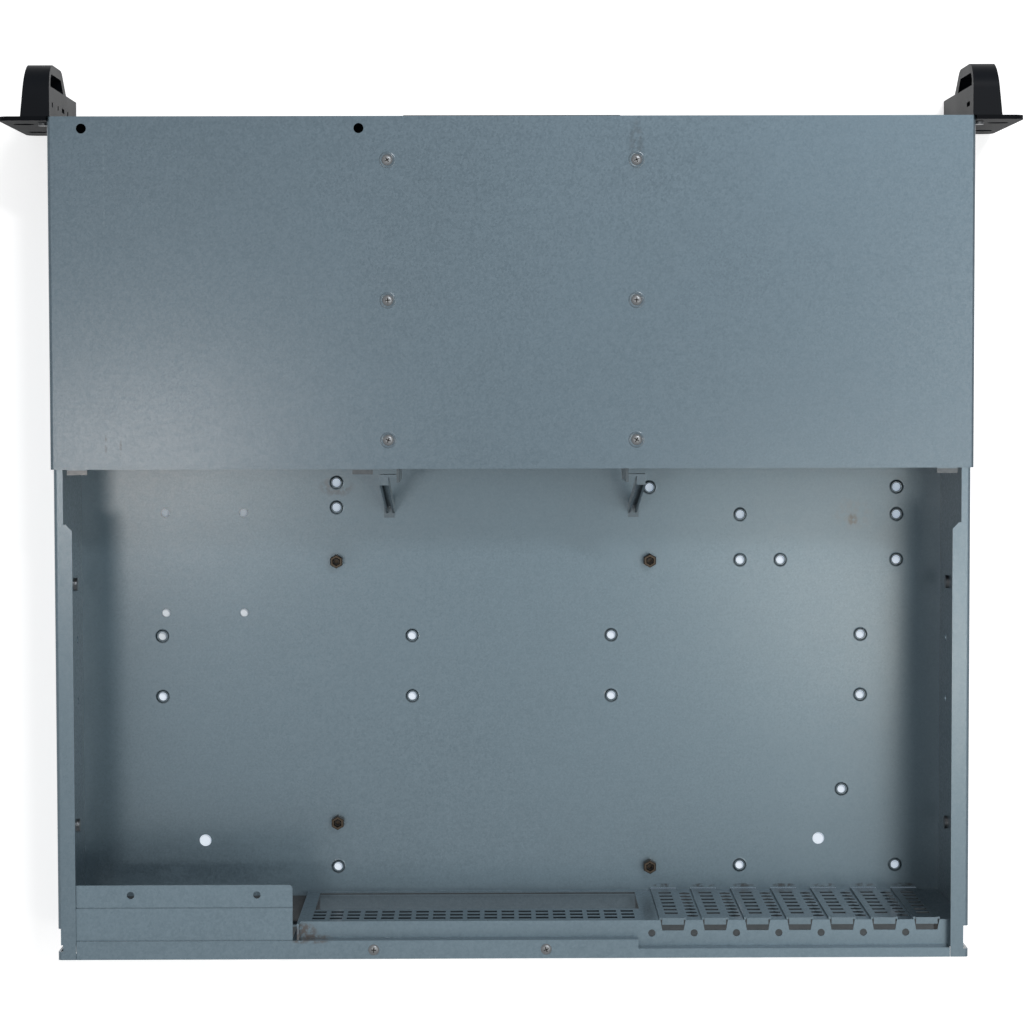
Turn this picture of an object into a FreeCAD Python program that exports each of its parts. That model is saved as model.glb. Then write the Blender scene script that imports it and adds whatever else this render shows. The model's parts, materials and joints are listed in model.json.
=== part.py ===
"""Empty 2U rackmount server case, 19-inch, about 400 mm deep, with its rear lid off.

Frame: X across the rack, Y from front to rear, Z up, in millimetres.
X = 0 is the middle of the case, Y = 0 the rear face of the rack ears (the face
that bears on the rack rails) and Z = 0 the underside. Left and right are as
seen from the front, so right is +X.
"""

import FreeCAD, Part
import math
import os

import Sketcher

SIZES = (
    # sheet metal and the folded tub
    ("sheet", 1.0),
    ("body_wide", 434.4),
    ("body_deep", 398.0),
    ("body_high", 86.0),
    ("floor_lip", 6.5),
    ("bend_radius", 1.6),
    ("flange_wide", 8.5),
    ("flange_narrow", 4.4),
    ("flange_widens_at", 190.0),
    ("flange_corner", 3.0),
    ("lid_notch_inset", 15.0),
    ("lid_notch_long", 11.0),
    ("lid_notch_deep", 2.4),
    ("lid_notch_high", 18.0),
    ("fit_gap", 0.2),
    ("moving_gap", 0.3),
    # front cover
    ("skirt_gap", 0.3),
    ("cover_lead", 2.0),
    ("cover_rear", 164.0),
    ("skirt_high", 13.0),
    ("cover_lip_high", 8.0),
    ("hem_deep", 10.0),
    ("tongue_long", 2.6),
    ("tongue_wide", 9.6),
    ("outer_tongue_inset", 11.2),
    ("inner_tongue_x", 71.0),
    ("bezel_hole_bore", 4.7),
    ("bezel_hole_y", 3.7),
    ("bezel_hole_inset", 14.8),
    ("bezel_hole_inner_x", 72.1),
    # drive rails and their struts
    ("rail_sheet", 1.2),
    ("rail_screw_x", 58.7),
    ("rail_screw_first", 18.6),
    ("rail_screw_pitch", 65.9),
    ("rail_inner_x", 53.8),
    ("rail_front", 13.0),
    ("rail_rear", 170.6),
    ("rail_top_wide", 11.0),
    ("rail_low", 27.0),
    ("rail_ledge", 8.0),
    ("rail_ledge_back", 20.0),
    ("rail_chamfer", 14.0),
    ("drive_slot_low", 7.0),
    ("drive_slot_high", 3.8),
    ("drive_slot_first", 22.0),
    ("drive_slot_long", 10.0),
    ("drive_slot_pitch", 41.6),
    ("drive_slot_rows", 3),
    ("drive_rise", 25.4),
    ("screw_bore", 3.1),
    ("screw_shank", 2.9),
    ("screw_head", 5.2),
    ("screw_head_high", 0.6),
    ("cover_screw_long", 3.0),
    ("strut_top_y", 166.8),
    ("strut_foot_y", 184.5),
    ("strut_deep", 5.0),
    ("strut_wide", 4.2),
    ("strut_bar_wide", 6.8),
    ("strut_bar_high", 9.0),
    ("strut_foot_long", 7.0),
    # places across the case that are measured from its left side
    ("left_to_slots", 140.7),
    ("left_to_step", 157.7),
    ("left_to_flange_screw", 284.0),
    ("left_to_board", 305.2),
    ("left_to_io", 314.2),
    ("left_to_bay", 320.7),
    # motherboard fixings in the floor
    ("inch", 25.4),
    ("board_row_inset", 13.0),
    ("board_hole_bore", 4.2),
    ("standoff_flats", 6.0),
    ("standoff_high", 6.35),
    ("standoff_bore", 2.9),
    ("standoff_floor", 1.2),
    ("stud_wide", 3.4),
    ("crossbar_inset", 41.2),
    ("crossbar_inner_x", 50.2),
    ("crossbar_y", 251.0),
    ("crossbar_pitch", 30.6),
    ("tie_hole_inset", 62.8),
    ("tie_hole_pitch_x", 39.3),
    ("tie_hole_pitch_y", 50.3),
    ("tie_hole_y", 189.0),
    ("tie_hole_bore", 4.0),
    ("drain_hole_inset", 62.0),
    ("drain_hole_back", 43.2),
    ("drain_hole_bore", 6.0),
    # side walls
    ("slide_stud_back", 55.2),
    ("slide_stud_pitch", 120.0),
    ("slide_stud_z", 26.0),
    ("slide_stud_head", 6.4),
    ("wall_head_high", 1.4),
    ("wall_hole_z", 19.5),
    ("wall_hole_bore", 4.0),
    # rear panel
    ("wall_inset", 16.8),
    ("ledge_drop", 7.0),
    ("flange_deep", 8.9),
    ("flange_shallow", 4.5),
    ("io_wide", 158.75),
    ("io_high", 44.45),
    ("io_low", 5.0),
    ("vent_wide", 6.1),
    ("vent_high", 4.4),
    ("vent_pitch_x", 8.3),
    ("vent_pitch_z", 8.0),
    ("vent_first_z", 53.0),
    ("vent_columns", 19),
    ("vent_rows", 3),
    ("slot_count", 7),
    ("slot_pitch", 20.32),
    ("slot_wide", 12.1),
    ("slot_low", 4.0),
    ("slot_notch_deep", 5.0),
    ("slot_notch_taper", 0.9),
    ("slot_screw_bore", 3.5),
    ("slot_screw_inset", 6.2),
    ("web_vent_wide", 5.4),
    ("web_vent_high", 5.6),
    ("web_vent_first", 9.5),
    ("web_vent_pitch", 8.4),
    ("web_vent_rows", 8),
    ("flange_screw_pitch", 82.3),
    ("flange_screw_inset", 4.4),
    ("flange_screw_long", 3.5),
    ("supply_low", 6.0),
    ("supply_high", 70.0),
    ("supply_margin", 5.0),
    # slot covers
    ("blade_lap", 0.4),
    ("blade_vent_wide", 6.4),
    ("blade_vent_high", 4.2),
    ("blade_vent_first", 11.0),
    ("blade_vent_pitch", 8.9),
    ("blade_vent_rows", 7),
    ("blade_tongue", 12.4),
    ("blade_lip", 2.2),
    # supply plate
    ("plate_deep", 35.5),
    ("plate_end_gap", 2.0),
    ("plate_joggle_back", 24.9),
    ("plate_tuck", 2.0),
    ("plate_hole_inner", 17.0),
    ("plate_hole_outer", 34.5),
    ("plate_hole_inset", 4.8),
    ("plate_hole_bore", 3.6),
    ("plate_corner", 2.0),
    # rack ears and pull handles
    ("ear_reach", 24.1),
    ("rack_hole_reach", 15.35),
    ("unit_high", 88.1),
    ("rack_slot_pitch", 44.45),
    ("rack_slot_wide", 6.8),
    ("rack_slot_long", 10.0),
    ("ear_sheet", 2.0),
    ("ear_corner", 5.0),
    ("ear_flange_long", 46.0),
    ("ear_flange_low", 4.0),
    ("ear_rivet_wide", 4.0),
    ("ear_rivet_head", 7.0),
    ("ear_rivet_y", 26.0),
    ("ear_rivet_low", 16.0),
    ("ear_rivet_rise", 40.0),
    ("handle_wide", 13.8),
    ("handle_block", 14.5),
    ("handle_reach", 25.0),
    ("handle_strap", 4.6),
    ("arch_low", 34.0),
    ("arch_rise", 14.0),
    ("arch_round", 12.0),
    ("gap_round", 4.5),
    ("handle_draft", 2.6),
    ("handle_screw_reach", 4.9),
    ("handle_screw_z", 72.0),
    ("handle_screw_bite", 8.0),
    ("catch_first", 7.2),
    ("catch_wide", 2.2),
    ("catch_deep", 2.0),
    ("relief_wide", 12.6),
    # front panel and its fittings
    ("return_deep", 12.0),
    ("bay_wide", 103.0),
    ("bay_low", 27.5),
    ("bay_high", 51.0),
    ("blank_sheet", 2.0),
    ("blank_rim", 2.0),
    ("intake_slot_wide", 4.0),
    ("intake_slot_high", 58.0),
    ("intake_slot_low", 15.0),
    ("intake_to_control", 99.0),
    ("intake_pitch", 8.0),
    ("intake_columns", 9),
    ("control_inset", 39.2),
    ("control_wide", 26.0),
    ("control_low", 24.0),
    ("control_high", 50.0),
    ("housing_deep", 9.0),
    ("power_z", 62.0),
    ("power_wide", 13.0),
    ("reset_z", 46.0),
    ("reset_wide", 6.0),
    ("button_proud", 1.8),
    ("button_travel", 1.2),
    ("switch_stem", 3.2),
    ("button_collar", 1.2),
    ("button_collar_wide", 1.5),
    ("lens_z", 34.0),
    ("lens_pitch", 8.0),
    ("lens_wide", 3.6),
    ("lens_proud", 0.6),
    ("board_sheet", 1.6),
)

doc = FreeCAD.newDocument("rack_case")
sheet = doc.addObject("Spreadsheet::Sheet", "sizes")
for row, (name, value) in enumerate(SIZES, 1):
    sheet.set(f"A{row}", name)
    sheet.set(f"B{row}", str(value))
    sheet.setAlias(f"B{row}", name)
doc.recompute()

X_AXIS = FreeCAD.Vector(1, 0, 0)
Y_AXIS = FreeCAD.Vector(0, 1, 0)
Z_AXIS = FreeCAD.Vector(0, 0, 1)
SIDES = (("left", -1), ("right", 1))
NODES = []


# ---------------------------------------------------------------- helpers

def new_body(label):
    """An empty PartDesign body that becomes one node."""
    body = doc.addObject("PartDesign::Body", label)
    body.Label = label
    NODES.append(body)
    return body


def new_sketch(body, role, offset="0"):
    """A sketch on one of the body's own origin planes, moved along its normal."""
    sketch = body.newObject("Sketcher::SketchObject", "outline")
    plane = next(item for item in body.Origin.OriginFeatures if item.Role == role)
    sketch.AttachmentSupport = (plane, [""])
    sketch.MapMode = "FlatFace"
    sketch.setExpression("AttachmentOffset.Base.z", offset)
    return sketch


def tie(sketch, constraints, expressions):
    """Add constraints in one go, and drive each by its expression."""
    indices = sketch.addConstraint(constraints)
    for index, expression in zip(indices, expressions):
        sketch.setExpression(f"Constraints[{index}]", expression)


def pinned(geometry, end, start):
    """The two constraints that hold a point at a distance from the origin."""
    return [
        Sketcher.Constraint("DistanceX", -1, 1, geometry, end, start[0]),
        Sketcher.Constraint("DistanceY", -1, 1, geometry, end, start[1]),
    ]


def polygon(sketch, places):
    """A closed outline through points given as pairs of expressions."""
    first = sketch.GeometryCount
    count = len(places)
    ring = []
    for step in range(count):
        turn = 2 * math.pi * step / count
        ring.append(FreeCAD.Vector(10 * math.cos(turn), 10 * math.sin(turn), 0))
    sides = []
    joins = []
    pins = []
    for step in range(count):
        sides.append(Part.LineSegment(ring[step], ring[(step + 1) % count]))
        joins.append(Sketcher.Constraint("Coincident", first + step, 2, first + (step + 1) % count, 1))
        pins += pinned(first + step, 1, (ring[step].x, ring[step].y))
    sketch.addGeometry(sides, False)
    sketch.addConstraint(joins)
    tie(sketch, pins, [expression for place in places for expression in place])


def rectangle(sketch, low, high):
    """A rectangle from its low corner to its high corner."""
    polygon(sketch, [low, (high[0], low[1]), high, (low[0], high[1])])


def circle(sketch, centre, width):
    """A round outline of the given diameter."""
    start = (sketch.GeometryCount * 3.0, 0.0)
    index = sketch.addGeometry(Part.Circle(FreeCAD.Vector(*start, 0), Z_AXIS, 1.0), False)
    sizes = pinned(index, 3, start) + [Sketcher.Constraint("Diameter", index, 2.0)]
    tie(sketch, sizes, [centre[0], centre[1], width])


def pad(body, sketch, length, reverse=False, middle=False):
    """Material along the sketch's normal."""
    feature = body.newObject("PartDesign::Pad", "pad")
    feature.Profile = sketch
    feature.setExpression("Length", length)
    feature.Reversed = reverse
    feature.Midplane = middle
    return feature


def cut_through(body, sketch):
    """Cut the outline right through the body, both ways."""
    feature = body.newObject("PartDesign::Pocket", "opening")
    feature.Profile = sketch
    feature.Type = "ThroughAll"
    feature.Midplane = True
    feature.Refine = False
    return feature


def cut_depth(body, sketch, depth, reverse=False):
    """Cut the outline to a depth against the sketch's normal, or along it when reversed."""
    feature = body.newObject("PartDesign::Pocket", "recess")
    feature.Profile = sketch
    feature.setExpression("Length", depth)
    feature.Reversed = reverse
    feature.Refine = False
    return feature


def repeat(body, feature, sketch, axis, pitch, count, reverse=False):
    """A row of copies of one feature."""
    row = body.newObject("PartDesign::LinearPattern", "row")
    row.Originals = [feature]
    row.Direction = (sketch, [axis])
    row.Mode = "Spacing"
    row.setExpression("Offset", pitch)
    row.setExpression("Occurrences", count)
    row.Reversed = reverse
    row.Refine = False
    body.Tip = row
    return row


def round_edges(body, along, wanted, radius):
    """Fillet the straight edges along one axis whose middle meets a test."""
    doc.recompute()
    names = []
    for index, edge in enumerate(body.Tip.Shape.Edges, 1):
        if len(edge.Vertexes) != 2:
            continue
        start = edge.Vertexes[0].Point
        finish = edge.Vertexes[1].Point
        run = finish - start
        if run.Length < 1e-6 or abs(abs(run.dot(along)) - run.Length) > 1e-6:
            continue
        if wanted((start + finish) * 0.5):
            names.append(f"Edge{index}")
    if not names:
        raise RuntimeError(f"{body.Label}: no edges to round")
    base = body.Tip
    feature = body.newObject("PartDesign::Fillet", "round")
    feature.Base = (base, names)
    feature.setExpression("Radius", radius)
    body.Tip = feature
    return feature


def primitive(kind, values, place):
    """A Part primitive with its sizes and its place tied to the sheet."""
    solid = doc.addObject(f"Part::{kind}", kind.lower())
    for name, expression in values.items():
        solid.setExpression(name, expression)
    for axis, expression in zip("xyz", place):
        solid.setExpression(f"Placement.Base.{axis}", expression)
    return solid


def turned(solid, axis, angle):
    """Turn a primitive about its own origin."""
    solid.setExpression("Placement.Rotation.Angle", str(angle))
    solid.setExpression("Placement.Rotation.Axis.x", str(axis[0]))
    solid.setExpression("Placement.Rotation.Axis.y", str(axis[1]))
    solid.setExpression("Placement.Rotation.Axis.z", str(axis[2]))
    return solid


def joined(parts):
    """One solid from several that touch or overlap."""
    fuse = doc.addObject("Part::MultiFuse", "fuse")
    fuse.Shapes = parts
    fuse.Refine = True
    return fuse


def group(label, parts):
    """One node that holds several like solids, each separate."""
    compound = doc.addObject("Part::Compound", label)
    compound.Label = label
    compound.Links = parts
    NODES.append(compound)
    return compound


def size(name):
    """A size of the sheet as a number."""
    return float(sheet.get(name))


# Places that several pieces share
half_body = "sizes.body_wide / 2"
inner_x = "(sizes.body_wide / 2 - sizes.sheet)"
flange_under = "(sizes.body_high - sizes.sheet)"
flange_inner_x = "(sizes.body_wide / 2 - sizes.flange_wide)"
cover_top = "(sizes.body_high + sizes.sheet)"
wall_y = "(sizes.body_deep - sizes.wall_inset)"
wall_back_y = "(sizes.body_deep - sizes.wall_inset + sizes.sheet)"
ledge_top = "(sizes.body_high - sizes.ledge_drop)"
board_row = "(sizes.body_deep - sizes.wall_inset - sizes.board_row_inset)"
slot_screw_y = "(sizes.body_deep - sizes.wall_inset + sizes.slot_screw_inset)"
button_back = "(sizes.moving_gap + sizes.button_collar)"
rear_flange_end = "(sizes.body_wide / 2 - sizes.flange_wide - sizes.fit_gap)"
blade_front_y = "(sizes.body_deep - sizes.wall_inset - sizes.sheet)"
half_cover = "(sizes.body_wide / 2 + sizes.sheet + sizes.skirt_gap)"
rack_edge_x = "(sizes.body_wide / 2 + sizes.ear_reach)"
rack_hole_x = "(sizes.body_wide / 2 + sizes.rack_hole_reach)"
handle_inner_x = "(sizes.body_wide / 2 - sizes.fit_gap)"
handle_screw_x = "(sizes.body_wide / 2 + sizes.handle_screw_reach)"
outer_tongue_x = "(sizes.body_wide / 2 - sizes.outer_tongue_inset)"
bezel_hole_outer_x = "(sizes.body_wide / 2 - sizes.bezel_hole_inset)"
crossbar_outer_x = "(sizes.body_wide / 2 - sizes.crossbar_inset)"
tie_hole_x = "(sizes.body_wide / 2 - sizes.tie_hole_inset)"
drain_hole_x = "(sizes.body_wide / 2 - sizes.drain_hole_inset)"
control_x = "(sizes.body_wide / 2 - sizes.control_inset)"
intake_first_x = "(sizes.body_wide / 2 - sizes.control_inset - sizes.intake_to_control)"
first_slot_x = "(sizes.left_to_slots - sizes.body_wide / 2)"
riser_step_x = "(sizes.left_to_step - sizes.body_wide / 2)"
flange_screw_x = "(sizes.left_to_flange_screw - sizes.body_wide / 2)"
board_column_x = "(sizes.left_to_board - sizes.body_wide / 2)"
io_left_x = "(sizes.left_to_io - sizes.body_wide / 2)"
wall_end_x = "(sizes.left_to_bay - sizes.body_wide / 2)"
plate_inner_x = "(sizes.left_to_bay - sizes.body_wide / 2 + sizes.plate_end_gap)"
lid_notch_front = "(sizes.body_deep - sizes.lid_notch_inset)"
drain_hole_y = "(sizes.body_deep - sizes.drain_hole_back)"
rear_stud_y = "(sizes.body_deep - sizes.slide_stud_back)"
riser_left_y = "(sizes.body_deep - sizes.flange_deep)"
riser_right_y = "(sizes.body_deep - sizes.flange_shallow)"
plate_front = "(sizes.body_deep - sizes.plate_deep)"
plate_joggle_y = "(sizes.body_deep - sizes.plate_joggle_back)"


def slot_x(number):
    """Middle of an expansion slot, counted from the supply side."""
    return f"({first_slot_x} - {number} * sizes.slot_pitch)"


def mirrored(side, expression):
    """The expression on the right, its negative on the left."""
    return expression if side > 0 else f"-({expression})"


# Hole columns and rows of the standard boards, in inches from the corner fixing
BOARD_COLUMNS = {"edge": 0.0, "small": 6.2, "micro": 8.0, "full": 11.1}
BOARD_ROWS = {"rear": 0.0, "rear_offset": 0.9, "middle": 6.1, "front": 7.0, "wide_front": 7.54}


def board_place(column_inches, row_inches):
    """A fixing of the standard board grid."""
    return (
        f"{board_column_x} - {column_inches} * sizes.inch",
        f"{board_row} - {row_inches} * sizes.inch",
    )


STANDOFF_PLACES = (
    board_place(BOARD_COLUMNS["edge"], BOARD_ROWS["rear_offset"]),
    board_place(BOARD_COLUMNS["small"], BOARD_ROWS["rear"]),
    board_place(BOARD_COLUMNS["edge"], BOARD_ROWS["middle"]),
    board_place(BOARD_COLUMNS["small"], BOARD_ROWS["middle"]),
)
BOARD_HOLE_PLACES = (
    board_place(BOARD_COLUMNS["edge"], BOARD_ROWS["rear"]),
    board_place(BOARD_COLUMNS["micro"], BOARD_ROWS["rear"]),
    board_place(BOARD_COLUMNS["full"], BOARD_ROWS["rear"]),
    board_place(BOARD_COLUMNS["micro"], BOARD_ROWS["middle"]),
    board_place(BOARD_COLUMNS["full"], BOARD_ROWS["middle"]),
    board_place(8.8, BOARD_ROWS["middle"]),
    board_place(BOARD_COLUMNS["micro"], BOARD_ROWS["front"]),
    board_place(BOARD_COLUMNS["full"], BOARD_ROWS["front"]),
    board_place(BOARD_COLUMNS["edge"], 7.16),
    board_place(BOARD_COLUMNS["edge"], 7.65),
    board_place(BOARD_COLUMNS["small"], BOARD_ROWS["wide_front"]),
    board_place(BOARD_COLUMNS["full"], BOARD_ROWS["wide_front"]),
    board_place(10.03, 1.52),
)
CROSSBAR_PLACES = tuple(
    (mirrored(side, place_x), f"sizes.crossbar_y + {row} * sizes.crossbar_pitch")
    for _, side in SIDES
    for place_x in (crossbar_outer_x, "sizes.crossbar_inner_x")
    for row in (0, 1)
)
RAIL_SCREW_YS = tuple(
    f"(sizes.rail_screw_first + {number} * sizes.rail_screw_pitch)" for number in range(3)
)
BEZEL_HOLE_XS = (bezel_hole_outer_x, "sizes.bezel_hole_inner_x")
FLANGE_SCREW_XS = (flange_screw_x, f"({flange_screw_x} - sizes.flange_screw_pitch)")
SLIDE_STUD_YS = (f"({rear_stud_y} - sizes.slide_stud_pitch)", rear_stud_y)
EAR_RIVET_ZS = ("sizes.ear_rivet_low", "(sizes.ear_rivet_low + sizes.ear_rivet_rise)")
RACK_SLOT_ZS = tuple(f"(sizes.unit_high / 2 {sign} sizes.rack_slot_pitch / 2)" for sign in "-+")
HANDLE_SCREW_ZS = ("(sizes.unit_high - sizes.handle_screw_z)", "sizes.handle_screw_z")
# Bezel catches in each handle's block: the middle of each above the base, and its height
CATCHES = {
    "left": ((74.0, 9.0),),
    "right": ((78.0, 3.0), (60.0, 3.0), (44.0, 8.0), (29.0, 3.0)),
}


# ---------------------------------------------------------------- base tub

def base_tub():
    """Floor, side walls and their in-turned top flanges, folded from one sheet."""
    body = new_body("base_tub")
    section = new_sketch(body, "XZ_Plane")
    polygon(section, [
        (f"-{half_body}", "0"),
        (half_body, "0"),
        (half_body, "sizes.body_high"),
        (flange_inner_x, "sizes.body_high"),
        (flange_inner_x, flange_under),
        (inner_x, flange_under),
        (inner_x, "sizes.sheet"),
        (f"-{inner_x}", "sizes.sheet"),
        (f"-{inner_x}", flange_under),
        (f"-{flange_inner_x}", flange_under),
        (f"-{flange_inner_x}", "sizes.body_high"),
        (f"-{half_body}", "sizes.body_high"),
    ])
    pad(body, section, "sizes.body_deep", reverse=True)
    outer = size("body_wide") / 2
    round_edges(body, Y_AXIS, lambda middle: abs(abs(middle.x) - outer) < 0.01, "sizes.bend_radius")

    # the floor runs on a little past the rear plane
    lip_x = f"({half_body} - 2 * sizes.bend_radius)"
    lip = new_sketch(body, "XY_Plane")
    rectangle(
        lip,
        (f"-{lip_x}", "sizes.body_deep - sizes.sheet"),
        (lip_x, "sizes.body_deep + sizes.floor_lip"),
    )
    pad(body, lip, "sizes.sheet")

    # the flanges are narrow under the front cover and widen behind it
    for _, side in SIDES:
        relief = new_sketch(body, "XY_Plane", "sizes.body_high")
        narrow_x = "sizes.body_wide / 2 - sizes.flange_narrow"
        full_from = "sizes.flange_widens_at + sizes.flange_corner"
        polygon(relief, [
            (mirrored(side, f"{flange_inner_x} - sizes.sheet"), "-sizes.sheet"),
            (mirrored(side, narrow_x), "-sizes.sheet"),
            (mirrored(side, narrow_x), "sizes.flange_widens_at"),
            (mirrored(side, f"{flange_inner_x} + sizes.flange_corner"), "sizes.flange_widens_at"),
            (mirrored(side, flange_inner_x), full_from),
            (mirrored(side, f"{flange_inner_x} - sizes.sheet"), full_from),
        ])
        cut_depth(body, relief, "2 * sizes.sheet")

    # notches that the lid's hooks drop into
    for _, side in SIDES:
        notch = new_sketch(body, "XY_Plane", "sizes.body_high")
        rectangle(
            notch,
            (mirrored(side, "sizes.body_wide / 2 - sizes.lid_notch_deep"), lid_notch_front),
            (mirrored(side, "sizes.body_wide / 2 + sizes.sheet"),
             f"{lid_notch_front} + sizes.lid_notch_long"),
        )
        cut_depth(body, notch, "sizes.lid_notch_high")

    # every hole of the floor
    holes = new_sketch(body, "XY_Plane", "sizes.sheet")
    for place in BOARD_HOLE_PLACES + CROSSBAR_PLACES:
        circle(holes, place, "sizes.board_hole_bore")
    for place in STANDOFF_PLACES:
        circle(holes, place, "sizes.stud_wide + sizes.fit_gap / 2")
    for column in (-1, 1):
        for row in (0, 1):
            circle(
                holes,
                (f"{tie_hole_x} + {column} * sizes.tie_hole_pitch_x / 2",
                 f"sizes.tie_hole_y + {row} * sizes.tie_hole_pitch_y"),
                "sizes.tie_hole_bore",
            )
    for _, side in SIDES:
        circle(holes, (mirrored(side, drain_hole_x), drain_hole_y), "sizes.drain_hole_bore")
    cut_depth(body, holes, "2 * sizes.sheet")

    # slits that take the slot covers' tongues
    slit = new_sketch(body, "XY_Plane", "sizes.sheet")
    rectangle(
        slit,
        (f"{slot_x(0)} - sizes.blade_tongue / 2 - sizes.fit_gap", f"{blade_front_y} - sizes.fit_gap"),
        (f"{slot_x(0)} + sizes.blade_tongue / 2 + sizes.fit_gap", wall_y),
    )
    first_slit = cut_depth(body, slit, "2 * sizes.sheet")
    repeat(body, first_slit, slit, "H_Axis", "sizes.slot_pitch", "sizes.slot_count", reverse=True)

    # holes of the side walls, the same on both sides
    side_holes = new_sketch(body, "YZ_Plane")
    for place_y in ("sizes.crossbar_y", "sizes.crossbar_y + sizes.crossbar_pitch"):
        circle(side_holes, (place_y, "sizes.wall_hole_z"), "sizes.wall_hole_bore")
    for place_z in EAR_RIVET_ZS:
        circle(side_holes, ("sizes.ear_rivet_y", place_z), "sizes.ear_rivet_wide + sizes.fit_gap")
    cut_through(body, side_holes)
    return body


# ---------------------------------------------------------------- rear panel

def rear_panel():
    """Stepped rear wall: board openings set in, supply bay at the rear plane, folded ledge and flange."""
    body = new_body("rear_panel")

    # supply wall and the return that joins it to the inset wall, seen from above
    plan = new_sketch(body, "XY_Plane", "sizes.sheet")
    polygon(plan, [
        (wall_end_x, wall_y),
        (wall_end_x, "sizes.body_deep - sizes.sheet"),
        (f"{inner_x} - sizes.fit_gap", "sizes.body_deep - sizes.sheet"),
        (f"{inner_x} - sizes.fit_gap", "sizes.body_deep"),
        (f"{wall_end_x} - sizes.sheet", "sizes.body_deep"),
        (f"{wall_end_x} - sizes.sheet", wall_y),
    ])
    pad(body, plan, "sizes.body_high - 2 * sizes.sheet")
    wall = new_sketch(body, "XY_Plane", "sizes.sheet")
    rectangle(
        wall,
        (f"-{inner_x} + sizes.fit_gap", wall_y),
        (wall_end_x, wall_back_y),
    )
    pad(body, wall, f"{ledge_top} - sizes.sheet")

    # ledge, riser and top flange, folded along the wall's top edge
    for riser_y, low_x, high_x in (
        (riser_left_y, riser_step_x, wall_end_x),
        (riser_right_y, f"-{rear_flange_end}", riser_step_x),
    ):
        fold = new_sketch(body, "YZ_Plane", low_x)
        polygon(fold, [
            (wall_y, f"{ledge_top} - sizes.sheet"),
            (f"{riser_y} + sizes.sheet", f"{ledge_top} - sizes.sheet"),
            (f"{riser_y} + sizes.sheet", flange_under),
            ("sizes.body_deep", flange_under),
            ("sizes.body_deep", "sizes.body_high"),
            (riser_y, "sizes.body_high"),
            (riser_y, ledge_top),
            (wall_y, ledge_top),
        ])
        pad(body, fold, f"{high_x} - ({low_x})")
    # the ledge runs on under the side wall's flange
    ledge_end = new_sketch(body, "XY_Plane", f"{ledge_top} - sizes.sheet")
    rectangle(
        ledge_end,
        (f"-{inner_x} + sizes.fit_gap", wall_y),
        (f"-{rear_flange_end}", f"{riser_right_y} + sizes.sheet"),
    )
    pad(body, ledge_end, "sizes.sheet")
    # the flange goes on over the supply bay
    bay_flange = new_sketch(body, "XY_Plane", flange_under)
    rectangle(
        bay_flange,
        (wall_end_x, riser_left_y),
        (rear_flange_end, "sizes.body_deep"),
    )
    pad(body, bay_flange, "sizes.sheet")

    # board connector opening, supply opening and the vents over the board's
    openings = new_sketch(body, "XZ_Plane")
    rectangle(
        openings,
        (f"{io_left_x} - sizes.io_wide", "sizes.io_low"),
        (io_left_x, "sizes.io_low + sizes.io_high"),
    )
    rectangle(
        openings,
        (f"{wall_end_x} + sizes.supply_margin", "sizes.supply_low"),
        (f"{inner_x} - sizes.supply_margin", "sizes.supply_low + sizes.supply_high"),
    )
    cut_through(body, openings)
    vents = new_sketch(body, "XZ_Plane")
    for row in range(int(size("vent_rows"))):
        low_z = f"sizes.vent_first_z + {row} * sizes.vent_pitch_z"
        rectangle(
            vents,
            (f"{io_left_x} - sizes.vent_wide", low_z),
            (io_left_x, f"{low_z} + sizes.vent_high"),
        )
    vent_column = cut_through(body, vents)
    repeat(body, vent_column, vents, "H_Axis", "sizes.vent_pitch_x", "sizes.vent_columns", reverse=True)

    flange_holes = new_sketch(body, "XY_Plane", "sizes.body_high")
    for place_x in FLANGE_SCREW_XS:
        circle(flange_holes, (place_x, "sizes.body_deep - sizes.flange_screw_inset"), "sizes.screw_bore")
    cut_depth(body, flange_holes, "2 * sizes.sheet")

    # expansion slots, each with a tapered notch in the ledge and a screw hole beside it
    slot = new_sketch(body, "XZ_Plane")
    rectangle(
        slot,
        (f"{slot_x(0)} - sizes.slot_wide / 2", "sizes.slot_low"),
        (f"{slot_x(0)} + sizes.slot_wide / 2", f"{ledge_top} - sizes.sheet"),
    )
    first_slot = cut_through(body, slot)
    repeat(body, first_slot, slot, "H_Axis", "sizes.slot_pitch", "sizes.slot_count", reverse=True)
    notch = new_sketch(body, "XY_Plane", ledge_top)
    polygon(notch, [
        (f"{slot_x(0)} - sizes.slot_wide / 2", blade_front_y),
        (f"{slot_x(0)} + sizes.slot_wide / 2", blade_front_y),
        (f"{slot_x(0)} + sizes.slot_wide / 2", wall_y),
        (f"{slot_x(0)} + sizes.slot_wide / 2 - sizes.slot_notch_taper", f"{wall_y} + sizes.slot_notch_deep"),
        (f"{slot_x(0)} - sizes.slot_wide / 2 + sizes.slot_notch_taper", f"{wall_y} + sizes.slot_notch_deep"),
        (f"{slot_x(0)} - sizes.slot_wide / 2", wall_y),
    ])
    first_notch = cut_depth(body, notch, "2 * sizes.sheet")
    repeat(body, first_notch, notch, "H_Axis", "sizes.slot_pitch", "sizes.slot_count", reverse=True)
    screw_hole = new_sketch(body, "XY_Plane", ledge_top)
    circle(screw_hole, (f"{slot_x(0)} + sizes.slot_pitch / 2", slot_screw_y), "sizes.slot_screw_bore")
    first_hole = cut_depth(body, screw_hole, "2 * sizes.sheet")
    repeat(body, first_hole, screw_hole, "H_Axis", "sizes.slot_pitch", "sizes.slot_count", reverse=True)

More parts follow.
